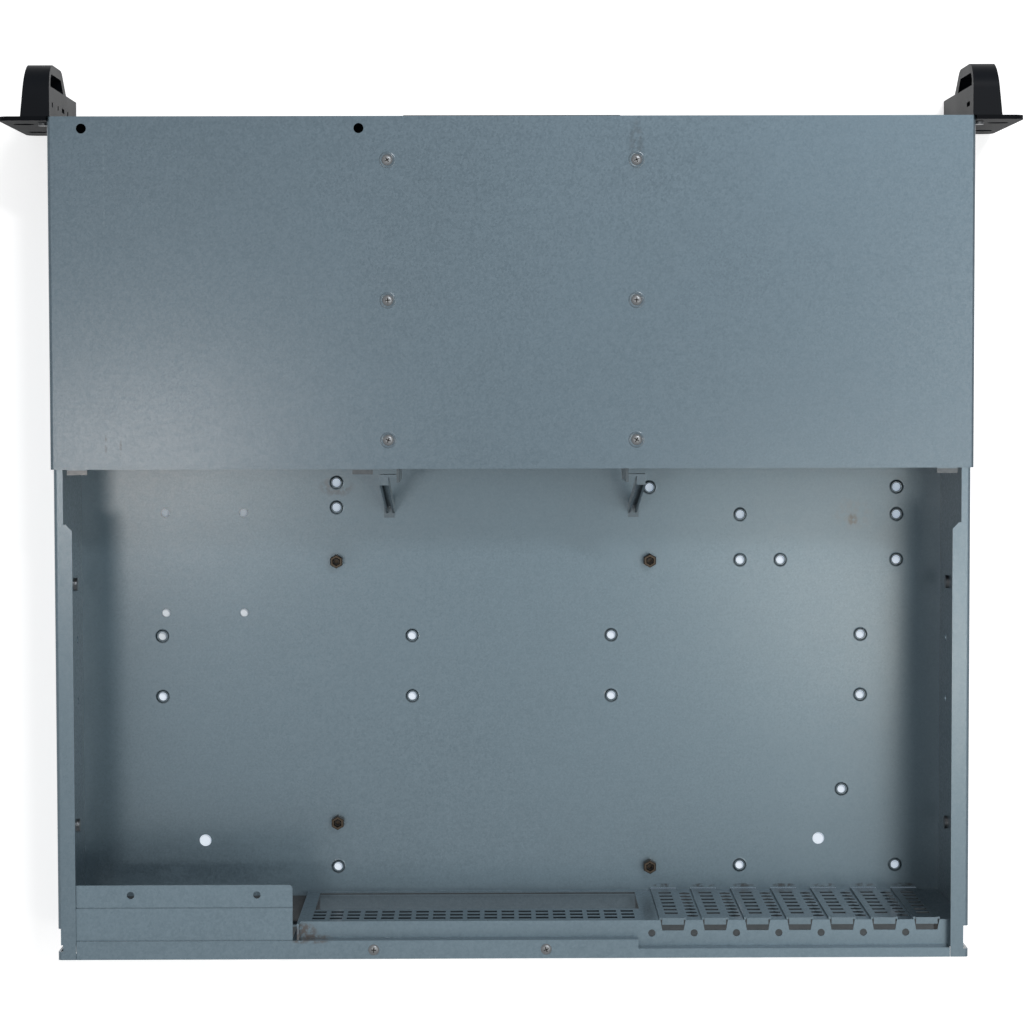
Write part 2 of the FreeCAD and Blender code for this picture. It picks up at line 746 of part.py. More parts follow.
    # six-sided vents in the webs between the slots
    web_vents = new_sketch(body, "XZ_Plane")
    web_x = f"{slot_x(0)} - sizes.slot_pitch / 2"
    for row in range(int(size("web_vent_rows"))):
        middle_z = f"sizes.web_vent_first + {row} * sizes.web_vent_pitch"
        polygon(web_vents, [
            (web_x, f"{middle_z} - sizes.web_vent_high / 2"),
            (f"{web_x} + sizes.web_vent_wide / 2", f"{middle_z} - sizes.web_vent_high / 4"),
            (f"{web_x} + sizes.web_vent_wide / 2", f"{middle_z} + sizes.web_vent_high / 4"),
            (web_x, f"{middle_z} + sizes.web_vent_high / 2"),
            (f"{web_x} - sizes.web_vent_wide / 2", f"{middle_z} + sizes.web_vent_high / 4"),
            (f"{web_x} - sizes.web_vent_wide / 2", f"{middle_z} - sizes.web_vent_high / 4"),
        ])
    web_column = cut_through(body, web_vents)
    repeat(body, web_column, web_vents, "H_Axis", "sizes.slot_pitch", "sizes.slot_count - 1", reverse=True)

    return body


def slot_cover(number):
    """Vented blank of one expansion slot: tongue in the floor slit, lip over the wall's top edge."""
    body = new_body(f"slot_cover_{number + 1}")
    body.setExpression("Placement.Base.x", slot_x(number))
    blade = new_sketch(body, "XZ_Plane", f"-{blade_front_y}")
    half_blade = "(sizes.slot_wide / 2 + sizes.blade_lap)"
    blade_foot = "(sizes.sheet + sizes.fit_gap)"
    polygon(blade, [
        (f"-{half_blade}", blade_foot),
        ("-sizes.blade_tongue / 2", blade_foot),
        ("-sizes.blade_tongue / 2", "sizes.fit_gap"),
        ("sizes.blade_tongue / 2", "sizes.fit_gap"),
        ("sizes.blade_tongue / 2", blade_foot),
        (half_blade, blade_foot),
        (half_blade, f"{ledge_top} - sizes.sheet"),
        ("sizes.slot_wide / 2 - sizes.slot_notch_taper", f"{ledge_top} - sizes.sheet"),
        ("sizes.slot_wide / 2 - sizes.slot_notch_taper", ledge_top),
        ("-(sizes.slot_wide / 2 - sizes.slot_notch_taper)", ledge_top),
        ("-(sizes.slot_wide / 2 - sizes.slot_notch_taper)", f"{ledge_top} - sizes.sheet"),
        (f"-{half_blade}", f"{ledge_top} - sizes.sheet"),
    ])
    pad(body, blade, "sizes.sheet", reverse=True)
    lip = new_sketch(body, "XY_Plane", f"{ledge_top} - sizes.sheet")
    rectangle(
        lip,
        ("-(sizes.slot_wide / 2 - sizes.slot_notch_taper)", blade_front_y),
        ("sizes.slot_wide / 2 - sizes.slot_notch_taper", f"{wall_y} + sizes.blade_lip"),
    )
    pad(body, lip, "sizes.sheet")
    vent = new_sketch(body, "XZ_Plane")
    rectangle(
        vent,
        ("-sizes.blade_vent_wide / 2", "sizes.blade_vent_first"),
        ("sizes.blade_vent_wide / 2", "sizes.blade_vent_first + sizes.blade_vent_high"),
    )
    first_vent = cut_through(body, vent)
    repeat(body, first_vent, vent, "V_Axis", "sizes.blade_vent_pitch", "sizes.blade_vent_rows")
    return body


def supply_plate():
    """Plate over the supply bay, tucked under the rear flange and the side wall's flange."""
    body = new_body("supply_plate")
    plate_top = flange_under
    section = new_sketch(body, "YZ_Plane", plate_inner_x)
    polygon(section, [
        (plate_front, f"{plate_top} - sizes.sheet / 2"),
        (plate_joggle_y, f"{plate_top} - sizes.sheet / 2"),
        (f"{plate_joggle_y} + sizes.sheet / 2", plate_top),
        (f"{riser_left_y} + sizes.plate_tuck", plate_top),
        (f"{riser_left_y} + sizes.plate_tuck", f"{plate_top} - sizes.sheet"),
        (f"{plate_joggle_y} + sizes.sheet / 2", f"{plate_top} - sizes.sheet"),
        (plate_joggle_y, f"{plate_top} - 1.5 * sizes.sheet"),
        (plate_front, f"{plate_top} - 1.5 * sizes.sheet"),
    ])
    pad(body, section, f"{inner_x} - sizes.fit_gap - {plate_inner_x}")
    holes = new_sketch(body, "XY_Plane")
    for place_x in (f"{plate_inner_x} + sizes.plate_hole_inner", f"{half_body} - sizes.plate_hole_outer"):
        circle(holes, (place_x, f"{plate_front} + sizes.plate_hole_inset"), "sizes.plate_hole_bore")
    cut_through(body, holes)
    front = size("body_deep") - size("plate_deep")
    round_edges(body, Z_AXIS, lambda middle: abs(middle.y - front) < 0.01, "sizes.plate_corner")
    return body


# ---------------------------------------------------------------- front cover, rails and struts

def front_cover():
    """Fixed top cover of the front part: side skirts, front lip, folded rear hem with three tongues."""
    body = new_body("front_cover")
    section = new_sketch(body, "XZ_Plane", "sizes.cover_lead")
    polygon(section, [
        (f"-{half_cover}", f"{cover_top} - sizes.skirt_high"),
        (f"-{half_cover}", cover_top),
        (half_cover, cover_top),
        (half_cover, f"{cover_top} - sizes.skirt_high"),
        (f"{half_cover} - sizes.sheet", f"{cover_top} - sizes.skirt_high"),
        (f"{half_cover} - sizes.sheet", "sizes.body_high"),
        (f"-({half_cover} - sizes.sheet)", "sizes.body_high"),
        (f"-({half_cover} - sizes.sheet)", f"{cover_top} - sizes.skirt_high"),
    ])
    pad(body, section, "sizes.cover_rear + sizes.cover_lead", reverse=True)
    lip = new_sketch(body, "XZ_Plane", "sizes.cover_lead")
    rectangle(
        lip,
        (f"-{half_body}", f"{cover_top} - sizes.cover_lip_high"),
        (half_body, "sizes.body_high"),
    )
    pad(body, lip, "sizes.sheet", reverse=True)

    # the rear edge is folded under, and three tongues stand out of the fold
    hem_x = "(sizes.body_wide / 2 - sizes.flange_narrow - sizes.sheet)"
    hem = new_sketch(body, "XY_Plane", flange_under)
    rectangle(hem, (f"-{hem_x}", "sizes.cover_rear - sizes.hem_deep"), (hem_x, "sizes.cover_rear"))
    pad(body, hem, "sizes.sheet")
    for middle_x in (f"-{outer_tongue_x}", "sizes.inner_tongue_x", outer_tongue_x):
        tongue = new_sketch(body, "XY_Plane", flange_under)
        rectangle(
            tongue,
            (f"{middle_x} - sizes.tongue_wide / 2", "sizes.cover_rear - sizes.sheet"),
            (f"{middle_x} + sizes.tongue_wide / 2", "sizes.cover_rear + sizes.tongue_long"),
        )
        pad(body, tongue, "sizes.sheet")

    holes = new_sketch(body, "XY_Plane")
    for _, side in SIDES:
        for place_y in RAIL_SCREW_YS:
            circle(holes, (mirrored(side, "sizes.rail_screw_x"), place_y), "sizes.screw_bore")
    for place_x in BEZEL_HOLE_XS:
        circle(holes, (place_x, "sizes.bezel_hole_y"), "sizes.bezel_hole_bore")
    cut_through(body, holes)

    outer = size("body_wide") / 2 + size("sheet") + size("skirt_gap")
    top = size("body_high") + size("sheet")
    round_edges(
        body, Y_AXIS,
        lambda middle: abs(abs(middle.x) - outer) < 0.01 and abs(middle.z - top) < 0.01,
        "sizes.bend_radius",
    )
    return body


def drive_rail(name, side):
    """Folded rail under the cover: top flange, web with drive slots, ledge that carries the drives."""
    body = new_body(f"drive_rail_{name}")
    inner = "sizes.rail_inner_x"
    outer = "(sizes.rail_inner_x + sizes.rail_sheet)"
    hem_front = "(sizes.cover_rear - sizes.hem_deep - sizes.fit_gap)"
    low_x = inner if side > 0 else f"-{outer}"

    web = new_sketch(body, "YZ_Plane", low_x)
    polygon(web, [
        ("sizes.rail_front", "sizes.rail_low"),
        ("sizes.rail_rear - sizes.rail_chamfer", "sizes.rail_low"),
        ("sizes.rail_rear", "sizes.rail_low + sizes.rail_chamfer"),
        ("sizes.rail_rear", f"{flange_under} - sizes.fit_gap"),
        (hem_front, f"{flange_under} - sizes.fit_gap"),
        (hem_front, "sizes.body_high"),
        ("sizes.rail_front", "sizes.body_high"),
    ])
    pad(body, web, "sizes.rail_sheet")

    top = new_sketch(body, "XY_Plane", "sizes.body_high - sizes.rail_sheet")
    rectangle(
        top,
        (mirrored(side, inner), "sizes.rail_front"),
        (mirrored(side, f"{inner} + sizes.rail_top_wide"), hem_front),
    )
    pad(body, top, "sizes.rail_sheet")
    ledge = new_sketch(body, "XY_Plane", "sizes.rail_low")
    rectangle(
        ledge,
        (mirrored(side, outer), "sizes.rail_front"),
        (mirrored(side, f"{inner} - sizes.rail_ledge"), "sizes.rail_rear - sizes.rail_ledge_back"),
    )
    pad(body, ledge, "sizes.rail_sheet")

    screw_holes = new_sketch(body, "XY_Plane", "sizes.body_high")
    for place_y in RAIL_SCREW_YS:
        circle(screw_holes, (mirrored(side, "sizes.rail_screw_x"), place_y), "sizes.screw_bore")
    cut_depth(body, screw_holes, "2 * sizes.rail_sheet")

    # side fixings of two stacked 3.5-inch drives
    drive_slots = new_sketch(body, "YZ_Plane")
    for row in (0, 1):
        low_z = f"sizes.rail_low + sizes.drive_slot_low + {row} * sizes.drive_rise"
        first_y = "sizes.rail_front + sizes.drive_slot_first"
        rectangle(
            drive_slots,
            (first_y, low_z),
            (f"{first_y} + sizes.drive_slot_long", f"{low_z} + sizes.drive_slot_high"),
        )
    slot_pair = cut_through(body, drive_slots)
    repeat(body, slot_pair, drive_slots, "H_Axis", "sizes.drive_slot_pitch", "sizes.drive_slot_rows")
    return body


def rail_strut(name, side):
    """Leaning channel that stands on the floor and holds up a rail's rear end."""
    body = new_body(f"rail_strut_{name}")
    rail_face = "(sizes.rail_inner_x + sizes.rail_sheet)"
    strut_top = f"({flange_under} - sizes.fit_gap)"
    outer = f"({rail_face} + sizes.strut_bar_wide + sizes.rail_sheet)"
    inner = f"({outer} - sizes.strut_wide)"
    low_x = inner if side > 0 else f"-{outer}"

    profile = new_sketch(body, "YZ_Plane", low_x)
    polygon(profile, [
        ("sizes.strut_top_y", strut_top),
        ("sizes.strut_foot_y", "sizes.sheet"),
        ("sizes.strut_foot_y + sizes.strut_deep", "sizes.sheet"),
        ("sizes.strut_top_y + sizes.strut_deep", strut_top),
    ])
    pad(body, profile, "sizes.strut_wide")
    hollow_low_x = f"{inner} + sizes.sheet" if side > 0 else f"-{outer} + sizes.sheet"
    hollow = new_sketch(body, "YZ_Plane", hollow_low_x)
    polygon(hollow, [
        ("sizes.strut_top_y + sizes.sheet", f"{strut_top} - sizes.sheet"),
        ("sizes.strut_foot_y + sizes.sheet", "2 * sizes.sheet"),
        ("sizes.strut_foot_y + 3 * sizes.strut_deep", "2 * sizes.sheet"),
        ("sizes.strut_top_y + 3 * sizes.strut_deep", f"{strut_top} - sizes.sheet"),
    ])
    cut_depth(body, hollow, "sizes.strut_wide - 2 * sizes.sheet", reverse=True)

    # cross bar that joins the strut's head to the rail, and the hooked foot
    bar = new_sketch(body, "XY_Plane", f"{strut_top} - sizes.strut_bar_high")
    rectangle(
        bar,
        (mirrored(side, rail_face), "sizes.strut_top_y"),
        (mirrored(side, outer), "sizes.strut_top_y + sizes.sheet"),
    )
    pad(body, bar, "sizes.strut_bar_high")
    foot = new_sketch(body, "XY_Plane", "sizes.sheet")
    rectangle(
        foot,
        (mirrored(side, inner), "sizes.strut_foot_y + sizes.sheet"),
        (mirrored(side, f"{outer} + sizes.sheet"), "sizes.strut_foot_y + sizes.strut_foot_long"),
    )
    pad(body, foot, "sizes.sheet")
    return body


# ---------------------------------------------------------------- rack ears and handles

def rack_ear(name, side):
    """Steel ear: plate with two rack slots, folded back along the side wall."""
    body = new_body(f"ear_{name}")
    plan = new_sketch(body, "XY_Plane")
    polygon(plan, [
        (mirrored(side, half_body), "-sizes.ear_sheet"),
        (mirrored(side, rack_edge_x), "-sizes.ear_sheet"),
        (mirrored(side, rack_edge_x), "0"),
        (mirrored(side, f"{half_body} + sizes.ear_sheet"), "0"),
        (mirrored(side, f"{half_body} + sizes.ear_sheet"), "sizes.ear_flange_long"),
        (mirrored(side, half_body), "sizes.ear_flange_long"),
    ])
    pad(body, plan, "sizes.unit_high")
    rack_edge = size("body_wide") / 2 + size("ear_reach")
    round_edges(body, Y_AXIS, lambda middle: abs(abs(middle.x) - rack_edge) < 0.01, "sizes.ear_corner")
    # the fold stands between the cover's skirt above and the rack's lower edge
    fold_relief = new_sketch(body, "YZ_Plane")
    skirt_foot = f"({cover_top} - sizes.skirt_high - sizes.fit_gap)"
    rectangle(
        fold_relief,
        ("0", skirt_foot),
        ("sizes.ear_flange_long + sizes.ear_sheet", "sizes.unit_high + sizes.sheet"),
    )
    cut_through(body, fold_relief)
    low_relief = new_sketch(body, "YZ_Plane")
    rectangle(
        low_relief,
        ("0", "-sizes.sheet"),
        ("sizes.ear_flange_long + sizes.ear_sheet", "sizes.ear_flange_low"),
    )
    cut_through(body, low_relief)
    # clearance for the cover's front edge, which reaches over the fold's line
    cover_relief = new_sketch(body, "XY_Plane", "sizes.unit_high")
    rectangle(
        cover_relief,
        (mirrored(side, "sizes.body_wide / 2 - sizes.sheet"), "-sizes.ear_sheet - sizes.sheet"),
        (mirrored(side, f"{half_cover} + sizes.fit_gap"), "sizes.ear_sheet"),
    )
    cut_depth(body, cover_relief, f"sizes.unit_high - {skirt_foot}")

    slots = new_sketch(body, "XZ_Plane")
    for place_z in RACK_SLOT_ZS:
        slot_outline(slots, mirrored(side, rack_hole_x), place_z)
    cut_through(body, slots)
    screw_holes = new_sketch(body, "XZ_Plane")
    for place_z in HANDLE_SCREW_ZS:
        circle(screw_holes, (mirrored(side, handle_screw_x), place_z), "sizes.screw_bore")
    cut_through(body, screw_holes)
    rivet_holes = new_sketch(body, "YZ_Plane")
    for place_z in EAR_RIVET_ZS:
        circle(rivet_holes, ("sizes.ear_rivet_y", place_z), "sizes.ear_rivet_wide + sizes.fit_gap")
    cut_through(body, rivet_holes)
    return body


def slot_outline(sketch, middle_x, middle_z):
    """A lying slot with round ends, as two arcs and two lines."""
    first = sketch.GeometryCount
    sketch.addGeometry([
        Part.LineSegment(FreeCAD.Vector(-2, 2, 0), FreeCAD.Vector(2, 2, 0)),
        Part.ArcOfCircle(
            Part.Circle(FreeCAD.Vector(2, 0, 0), Z_AXIS, 2.0), -math.pi / 2, math.pi / 2),
        Part.LineSegment(FreeCAD.Vector(2, -2, 0), FreeCAD.Vector(-2, -2, 0)),
        Part.ArcOfCircle(
            Part.Circle(FreeCAD.Vector(-2, 0, 0), Z_AXIS, 2.0), math.pi / 2, 3 * math.pi / 2),
    ], False)
    sketch.addConstraint([
        Sketcher.Constraint("Tangent", first, 2, first + 1, 2),
        Sketcher.Constraint("Tangent", first + 1, 1, first + 2, 1),
        Sketcher.Constraint("Tangent", first + 2, 2, first + 3, 2),
        Sketcher.Constraint("Tangent", first + 3, 1, first, 1),
        Sketcher.Constraint("Equal", first + 1, first + 3),
        Sketcher.Constraint("Horizontal", first),
    ])
    straight = "(sizes.rack_slot_long - sizes.rack_slot_wide) / 2"
    tie(
        sketch,
        pinned(first + 1, 3, (2.0, 0.0)) + [
            Sketcher.Constraint("DistanceX", -1, 1, first + 3, 3, -2.0),
            Sketcher.Constraint("Radius", first + 1, 2.0),
        ],
        [f"{middle_x} + {straight}", middle_z, f"{middle_x} - {straight}", "sizes.rack_slot_wide / 2"],
    )


def pull_handle(name, side):
    """Moulded handle: full-height block on the ear with a round-nosed strap over a finger gap."""
    body = new_body(f"handle_{name}")
    ear_front = "sizes.ear_sheet"
    block_y = f"-({ear_front} + sizes.handle_block)"
    reach_y = f"-({ear_front} + sizes.handle_reach)"
    foot_z = "sizes.fit_gap"
    top_z = "(sizes.unit_high - sizes.fit_gap)"
    outer = f"({handle_inner_x} + sizes.handle_wide)"
    low_x = handle_inner_x if side > 0 else f"-{outer}"

    profile = new_sketch(body, "YZ_Plane", low_x)
    polygon(profile, [
        (f"-{ear_front}", foot_z),
        (block_y, foot_z),
        (block_y, "sizes.arch_low"),
        (reach_y, "sizes.arch_low + sizes.arch_rise"),
        (reach_y, top_z),
        (f"-{ear_front}", top_z),
    ])
    pad(body, profile, "sizes.handle_wide")
    reach = -(size("ear_sheet") + size("handle_reach"))
    round_edges(body, X_AXIS, lambda middle: abs(middle.y - reach) < 0.01, "sizes.arch_round")

    gap = new_sketch(body, "YZ_Plane")
    strap_y = f"({reach_y} + sizes.handle_strap)"
    polygon(gap, [
        (f"{block_y} + sizes.fit_gap", "sizes.arch_low + 2 * sizes.handle_strap"),
        (strap_y, "sizes.arch_low + sizes.arch_rise + sizes.handle_strap / 2"),
        (strap_y, f"{top_z} - sizes.handle_strap"),
        (f"{block_y} + sizes.fit_gap", f"{top_z} - sizes.handle_strap"),
    ])
    cut_through(body, gap)
    inside = reach + size("handle_strap")
    round_edges(body, X_AXIS, lambda middle: abs(middle.y - inside) < 0.01, "sizes.gap_round")

    # the outer side draws in towards the front, as the mould needs
    draft = new_sketch(body, "XY_Plane", "-sizes.sheet")
    polygon(draft, [
        (mirrored(side, f"{outer}"), f"-{ear_front}"),
        (mirrored(side, f"{outer} - sizes.handle_draft"), f"{reach_y} - sizes.sheet"),
        (mirrored(side, f"{outer} + sizes.sheet"), f"{reach_y} - sizes.sheet"),
        (mirrored(side, f"{outer} + sizes.sheet"), f"-{ear_front}"),
    ])
    cut_depth(body, draft, "sizes.unit_high + 2 * sizes.sheet", reverse=True)

    # room for the rack screws' heads, and blind holes for the handle's own screws
    relief = new_sketch(body, "XZ_Plane")
    for place_z in RACK_SLOT_ZS:
        circle(relief, (mirrored(side, rack_hole_x), place_z), "sizes.relief_wide")
    cut_through(body, relief)
    screws = new_sketch(body, "XZ_Plane", ear_front)
    for place_z in HANDLE_SCREW_ZS:
        circle(screws, (mirrored(side, handle_screw_x), place_z), "sizes.screw_bore")
    cut_depth(body, screws, "sizes.handle_screw_bite + sizes.catch_deep", reverse=True)

    # bezel catches in the inner side of the block
    catches = new_sketch(body, "YZ_Plane", mirrored(side, handle_inner_x))
    catch_y = f"{block_y} + sizes.catch_first"
    for middle_z, high in CATCHES[name]:
        rectangle(
            catches,
            (catch_y, f"{middle_z - high / 2}"),
            (f"{catch_y} + sizes.catch_wide", f"{middle_z + high / 2}"),
        )
    cut_depth(body, catches, "sizes.catch_deep", reverse=side > 0)
    return body


# ---------------------------------------------------------------- front panel and controls

def front_panel():
    """Front sheet between the ears: drive opening, intake slots, control holes, returns top and bottom."""
    body = new_body("front_panel")
    face = new_sketch(body, "XZ_Plane", "sizes.sheet")
    rectangle(face, (f"-{half_body}", "0"), (half_body, "sizes.body_high"))
    pad(body, face, "sizes.sheet", reverse=True)
    return_x = "(sizes.body_wide / 2 - sizes.flange_narrow - sizes.fit_gap)"
    for low_z in ("sizes.sheet", flange_under):
        fold = new_sketch(body, "XY_Plane", low_z)
        rectangle(fold, (f"-{return_x}", "-sizes.sheet"), (return_x, "sizes.return_deep"))
        pad(body, fold, "sizes.sheet")

    openings = new_sketch(body, "XZ_Plane")
    rectangle(
        openings,
        ("-sizes.bay_wide / 2", "sizes.bay_low"),
        ("sizes.bay_wide / 2", "sizes.bay_low + sizes.bay_high"),
    )
    cut_through(body, openings)
    for _, side in SIDES:
        intake = new_sketch(body, "XZ_Plane")
        rectangle(
            intake,
            (mirrored(side, intake_first_x), "sizes.intake_slot_low"),
            (mirrored(side, f"{intake_first_x} + sizes.intake_slot_wide"),
             "sizes.intake_slot_low + sizes.intake_slot_high"),
        )
        first_intake = cut_through(body, intake)
        repeat(body, first_intake, intake, "H_Axis", "sizes.intake_pitch", "sizes.intake_columns", side < 0)

    controls = new_sketch(body, "XZ_Plane")
    circle(controls, (f"-{control_x}", "sizes.power_z"), "sizes.power_wide + 2 * sizes.moving_gap")
    circle(controls, (f"-{control_x}", "sizes.reset_z"), "sizes.reset_wide + 2 * sizes.moving_gap")
    for step in (-1, 1):
        circle(
            controls,
            (f"-{control_x} + {step} * sizes.lens_pitch / 2", "sizes.lens_z"),
            "sizes.lens_wide + sizes.fit_gap",
        )
    cut_through(body, controls)
    bezel_holes = new_sketch(body, "XY_Plane", "sizes.body_high")
    for place_x in BEZEL_HOLE_XS:
        circle(bezel_holes, (place_x, "sizes.bezel_hole_y"), "sizes.bezel_hole_bore")
    cut_depth(body, bezel_holes, "2 * sizes.sheet")
    return body


def bay_blank(name, number):
    """Moulded blank of one drive bay: a shallow tray whose rim seats in the panel's opening."""
    body = new_body(f"bay_blank_{name}")
    half_blank = "(sizes.bay_wide / 2 - sizes.fit_gap)"
    blank_high = "(sizes.bay_high / 2 - 1.5 * sizes.fit_gap)"
    low_z = f"(sizes.bay_low + sizes.fit_gap + {number} * sizes.bay_high / 2)"
    face = new_sketch(body, "XZ_Plane", "sizes.sheet + sizes.blank_sheet")
    rectangle(face, (f"-{half_blank}", low_z), (half_blank, f"{low_z} + {blank_high}"))
    pad(body, face, "sizes.blank_sheet + sizes.return_deep", reverse=True)
    hollow = new_sketch(body, "XZ_Plane", "sizes.sheet")
    rectangle(
        hollow,
        (f"-{half_blank} + sizes.blank_rim", f"{low_z} + sizes.blank_rim"),
        (f"{half_blank} - sizes.blank_rim", f"{low_z} + {blank_high} - sizes.blank_rim"),
    )
    cut_depth(body, hollow, "sizes.return_deep + sizes.sheet")
    return body


def control_housing():
    """Moulding behind the panel that guides both buttons and holds the lenses."""
    body = new_body("control_housing")
    block = new_sketch(body, "XZ_Plane")
    rectangle(
        block,
        (f"-{control_x} - sizes.control_wide / 2", "sizes.control_low"),
        (f"-{control_x} + sizes.control_wide / 2", "sizes.control_low + sizes.control_high"),
    )
    pad(body, block, "sizes.housing_deep", reverse=True)
    bores = new_sketch(body, "XZ_Plane")
    for middle_z, width in (("sizes.power_z", "sizes.power_wide"), ("sizes.reset_z", "sizes.reset_wide")):
        circle(
            bores,
            (f"-{control_x}", middle_z),
            f"{width} + 2 * sizes.button_collar_wide + 2 * sizes.moving_gap",
        )
    for step in (-1, 1):
        circle(
            bores,
            (f"-{control_x} + {step} * sizes.lens_pitch / 2", "sizes.lens_z"),
            "sizes.lens_wide + sizes.fit_gap",
        )
    cut_through(body, bores)
    return body


def control_board():
    """Circuit board that closes the housing's back and carries the switches and lamps."""
    board = primitive("Box", {
        "Length": "sizes.control_wide",
        "Width": "sizes.board_sheet",
        "Height": "sizes.control_high",
    }, (f"-{control_x} - sizes.control_wide / 2", "sizes.housing_deep", "sizes.control_low"))
    pressed_y = f"({button_back} + sizes.button_travel + sizes.moving_gap)"
    switches = []
    for middle_z in ("sizes.power_z", "sizes.reset_z"):
        stem = primitive("Cylinder", {
            "Radius": "sizes.switch_stem / 2",
            "Height": f"sizes.housing_deep - {pressed_y}",
        }, (f"-{control_x}", "sizes.housing_deep", middle_z))
        switches.append(turned(stem, X_AXIS, 90))
    node = joined([board] + switches)
    node.Label = "control_board"
    NODES.append(node)
    return node


def push_button(name, middle_z, width):
    """Round button with a collar that the panel's back keeps in."""
    cap = primitive("Cylinder", {
        "Radius": f"{width} / 2",
        "Height": f"sizes.button_proud + sizes.sheet + {button_back}",
    }, (f"-{control_x}", button_back, middle_z))
    collar = primitive("Cylinder", {
        "Radius": f"{width} / 2 + sizes.button_collar_wide",
        "Height": "sizes.button_collar",
    }, (f"-{control_x}", button_back, middle_z))
    node = joined([turned(cap, X_AXIS, 90), turned(collar, X_AXIS, 90)])
    node.Label = f"{name}_button"
    NODES.append(node)
    return node


def led_lenses():
    """Two clear light pipes between the board and the panel's face."""
    lenses = []
    for step in (-1, 1):
        lens = primitive("Cylinder", {
            "Radius": "sizes.lens_wide / 2",
            "Height": "sizes.housing_deep + sizes.sheet + sizes.lens_proud",
        }, (f"-{control_x} + {step} * sizes.lens_pitch / 2", "sizes.housing_deep", "sizes.lens_z"))
        lenses.append(turned(lens, X_AXIS, 90))
    return group("led_lenses", lenses)


# ---------------------------------------------------------------- fasteners

def upright_screw(place_x, place_y, seat_z, depth):
    """A screw driven down through a face at seat_z."""
    shank = primitive(
        "Cylinder", {"Radius": "sizes.screw_shank / 2", "Height": f"{depth} + sizes.screw_head_high / 2"},
        (place_x, place_y, f"{seat_z} - {depth}"))
    head = primitive(
        "Cylinder", {"Radius": "sizes.screw_head / 2", "Height": "sizes.screw_head_high"},
        (place_x, place_y, seat_z))
    return joined([shank, head])


def cover_screws():
    """Six screws that hold the two rails under the front cover."""
    screws = []
    for _, side in SIDES:
        for place_y in RAIL_SCREW_YS:
            place_x = mirrored(side, "sizes.rail_screw_x")
            screws.append(upright_screw(place_x, place_y, cover_top, "sizes.cover_screw_long"))
    return group("cover_screws", screws)


def rear_flange_screws():
    """Two screws in the rear flange."""
    screws = []
    for place_x in FLANGE_SCREW_XS:
        place_y = "sizes.body_deep - sizes.flange_screw_inset"
        screws.append(upright_screw(place_x, place_y, "sizes.body_high", "sizes.flange_screw_long"))
    return group("rear_flange_screws", screws)


def handle_screws():
    """Screws from behind each ear into its handle."""
    screws = []
    for _, side in SIDES:
        for place_z in HANDLE_SCREW_ZS:
            place_x = mirrored(side, handle_screw_x)
            shank = primitive(
                "Cylinder", {
                    "Radius": "sizes.screw_shank / 2",
                    "Height": "sizes.ear_sheet + sizes.handle_screw_bite",
                }, (place_x, "sizes.screw_head_high / 2", place_z))
            head = primitive(
                "Cylinder", {"Radius": "sizes.screw_head / 2", "Height": "2 * sizes.screw_head_high"},
                (place_x, "2 * sizes.screw_head_high", place_z))
            screws.append(joined([turned(shank, X_AXIS, 90), turned(head, X_AXIS, 90)]))
    return group("handle_screws", screws)


def wall_head(place_y, place_z, width, side):
    """A low round head on the inside of a side wall."""
    head = primitive(
        "Cylinder", {"Radius": f"{width} / 2", "Height": "sizes.wall_head_high"},
        (mirrored(side, inner_x), place_y, place_z))
    return turned(head, Y_AXIS, -90 * side)


def ear_rivets():
    """Rivets through the side walls and the ears' flanges: heads inside, ends flush outside."""
    rivets = []
    for _, side in SIDES:
        for place_z in EAR_RIVET_ZS:
            pin = primitive(
                "Cylinder", {
                    "Radius": "sizes.ear_rivet_wide / 2",
                    "Height": "sizes.ear_sheet + sizes.sheet + sizes.wall_head_high / 2",
                }, (mirrored(side, f"{half_body} + sizes.ear_sheet"), "sizes.ear_rivet_y", place_z))
            head = wall_head("sizes.ear_rivet_y", place_z, "sizes.ear_rivet_head", side)
            rivets.append(joined([turned(pin, Y_AXIS, -90 * side), head]))
    return group("ear_rivets", rivets)


def slide_studs():
    """Blind threaded studs pressed into the side walls, for slide rails."""
    studs = []
    for _, side in SIDES:
        for place_y in SLIDE_STUD_YS:
            studs.append(wall_head(place_y, "sizes.slide_stud_z", "sizes.slide_stud_head", side))
    return group("slide_studs", studs)


def board_standoffs():
    """Four hexagonal standoffs with their studs in the floor."""
    standoffs = []
    for place_x, place_y in STANDOFF_PLACES:
        hexagon = primitive(
            "Prism", {"Circumradius": "sizes.standoff_flats / sqrt(3)", "Height": "sizes.standoff_high"},
            (place_x, place_y, "sizes.sheet"))
        bore = primitive(
            "Cylinder", {"Radius": "sizes.standoff_bore / 2", "Height": "sizes.standoff_high"},
            (place_x, place_y, "sizes.sheet + sizes.standoff_floor"))
        stud = primitive(
            "Cylinder", {"Radius": "sizes.stud_wide / 2", "Height": "sizes.sheet"},
            (place_x, place_y, "sizes.fit_gap"))
        sleeve = doc.addObject("Part::Cut", "sleeve")
        sleeve.Base = hexagon
        sleeve.Tool = bore
        standoffs.append(joined([sleeve, stud]))
    return group("board_standoffs", standoffs)


# ---------------------------------------------------------------- build and check

def build():
    """Make every piece of the case."""
    base_tub()
    rear_panel()
    front_panel()
    front_cover()
    supply_plate()
    for name, side in SIDES:
        drive_rail(name, side)
        rail_strut(name, side)
        rack_ear(name, side)
        pull_handle(name, side)
    for number in range(int(size("slot_count"))):
        slot_cover(number)
    bay_blank("lower", 0)
    bay_blank("upper", 1)
    control_housing()
    control_board()
    push_button("power", "sizes.power_z", "sizes.power_wide")
    push_button("reset", "sizes.reset_z", "sizes.reset_wide")
    led_lenses()
    cover_screws()
    rear_flange_screws()
    handle_screws()
    ear_rivets()
    slide_studs()
    board_standoffs()
    doc.recompute()


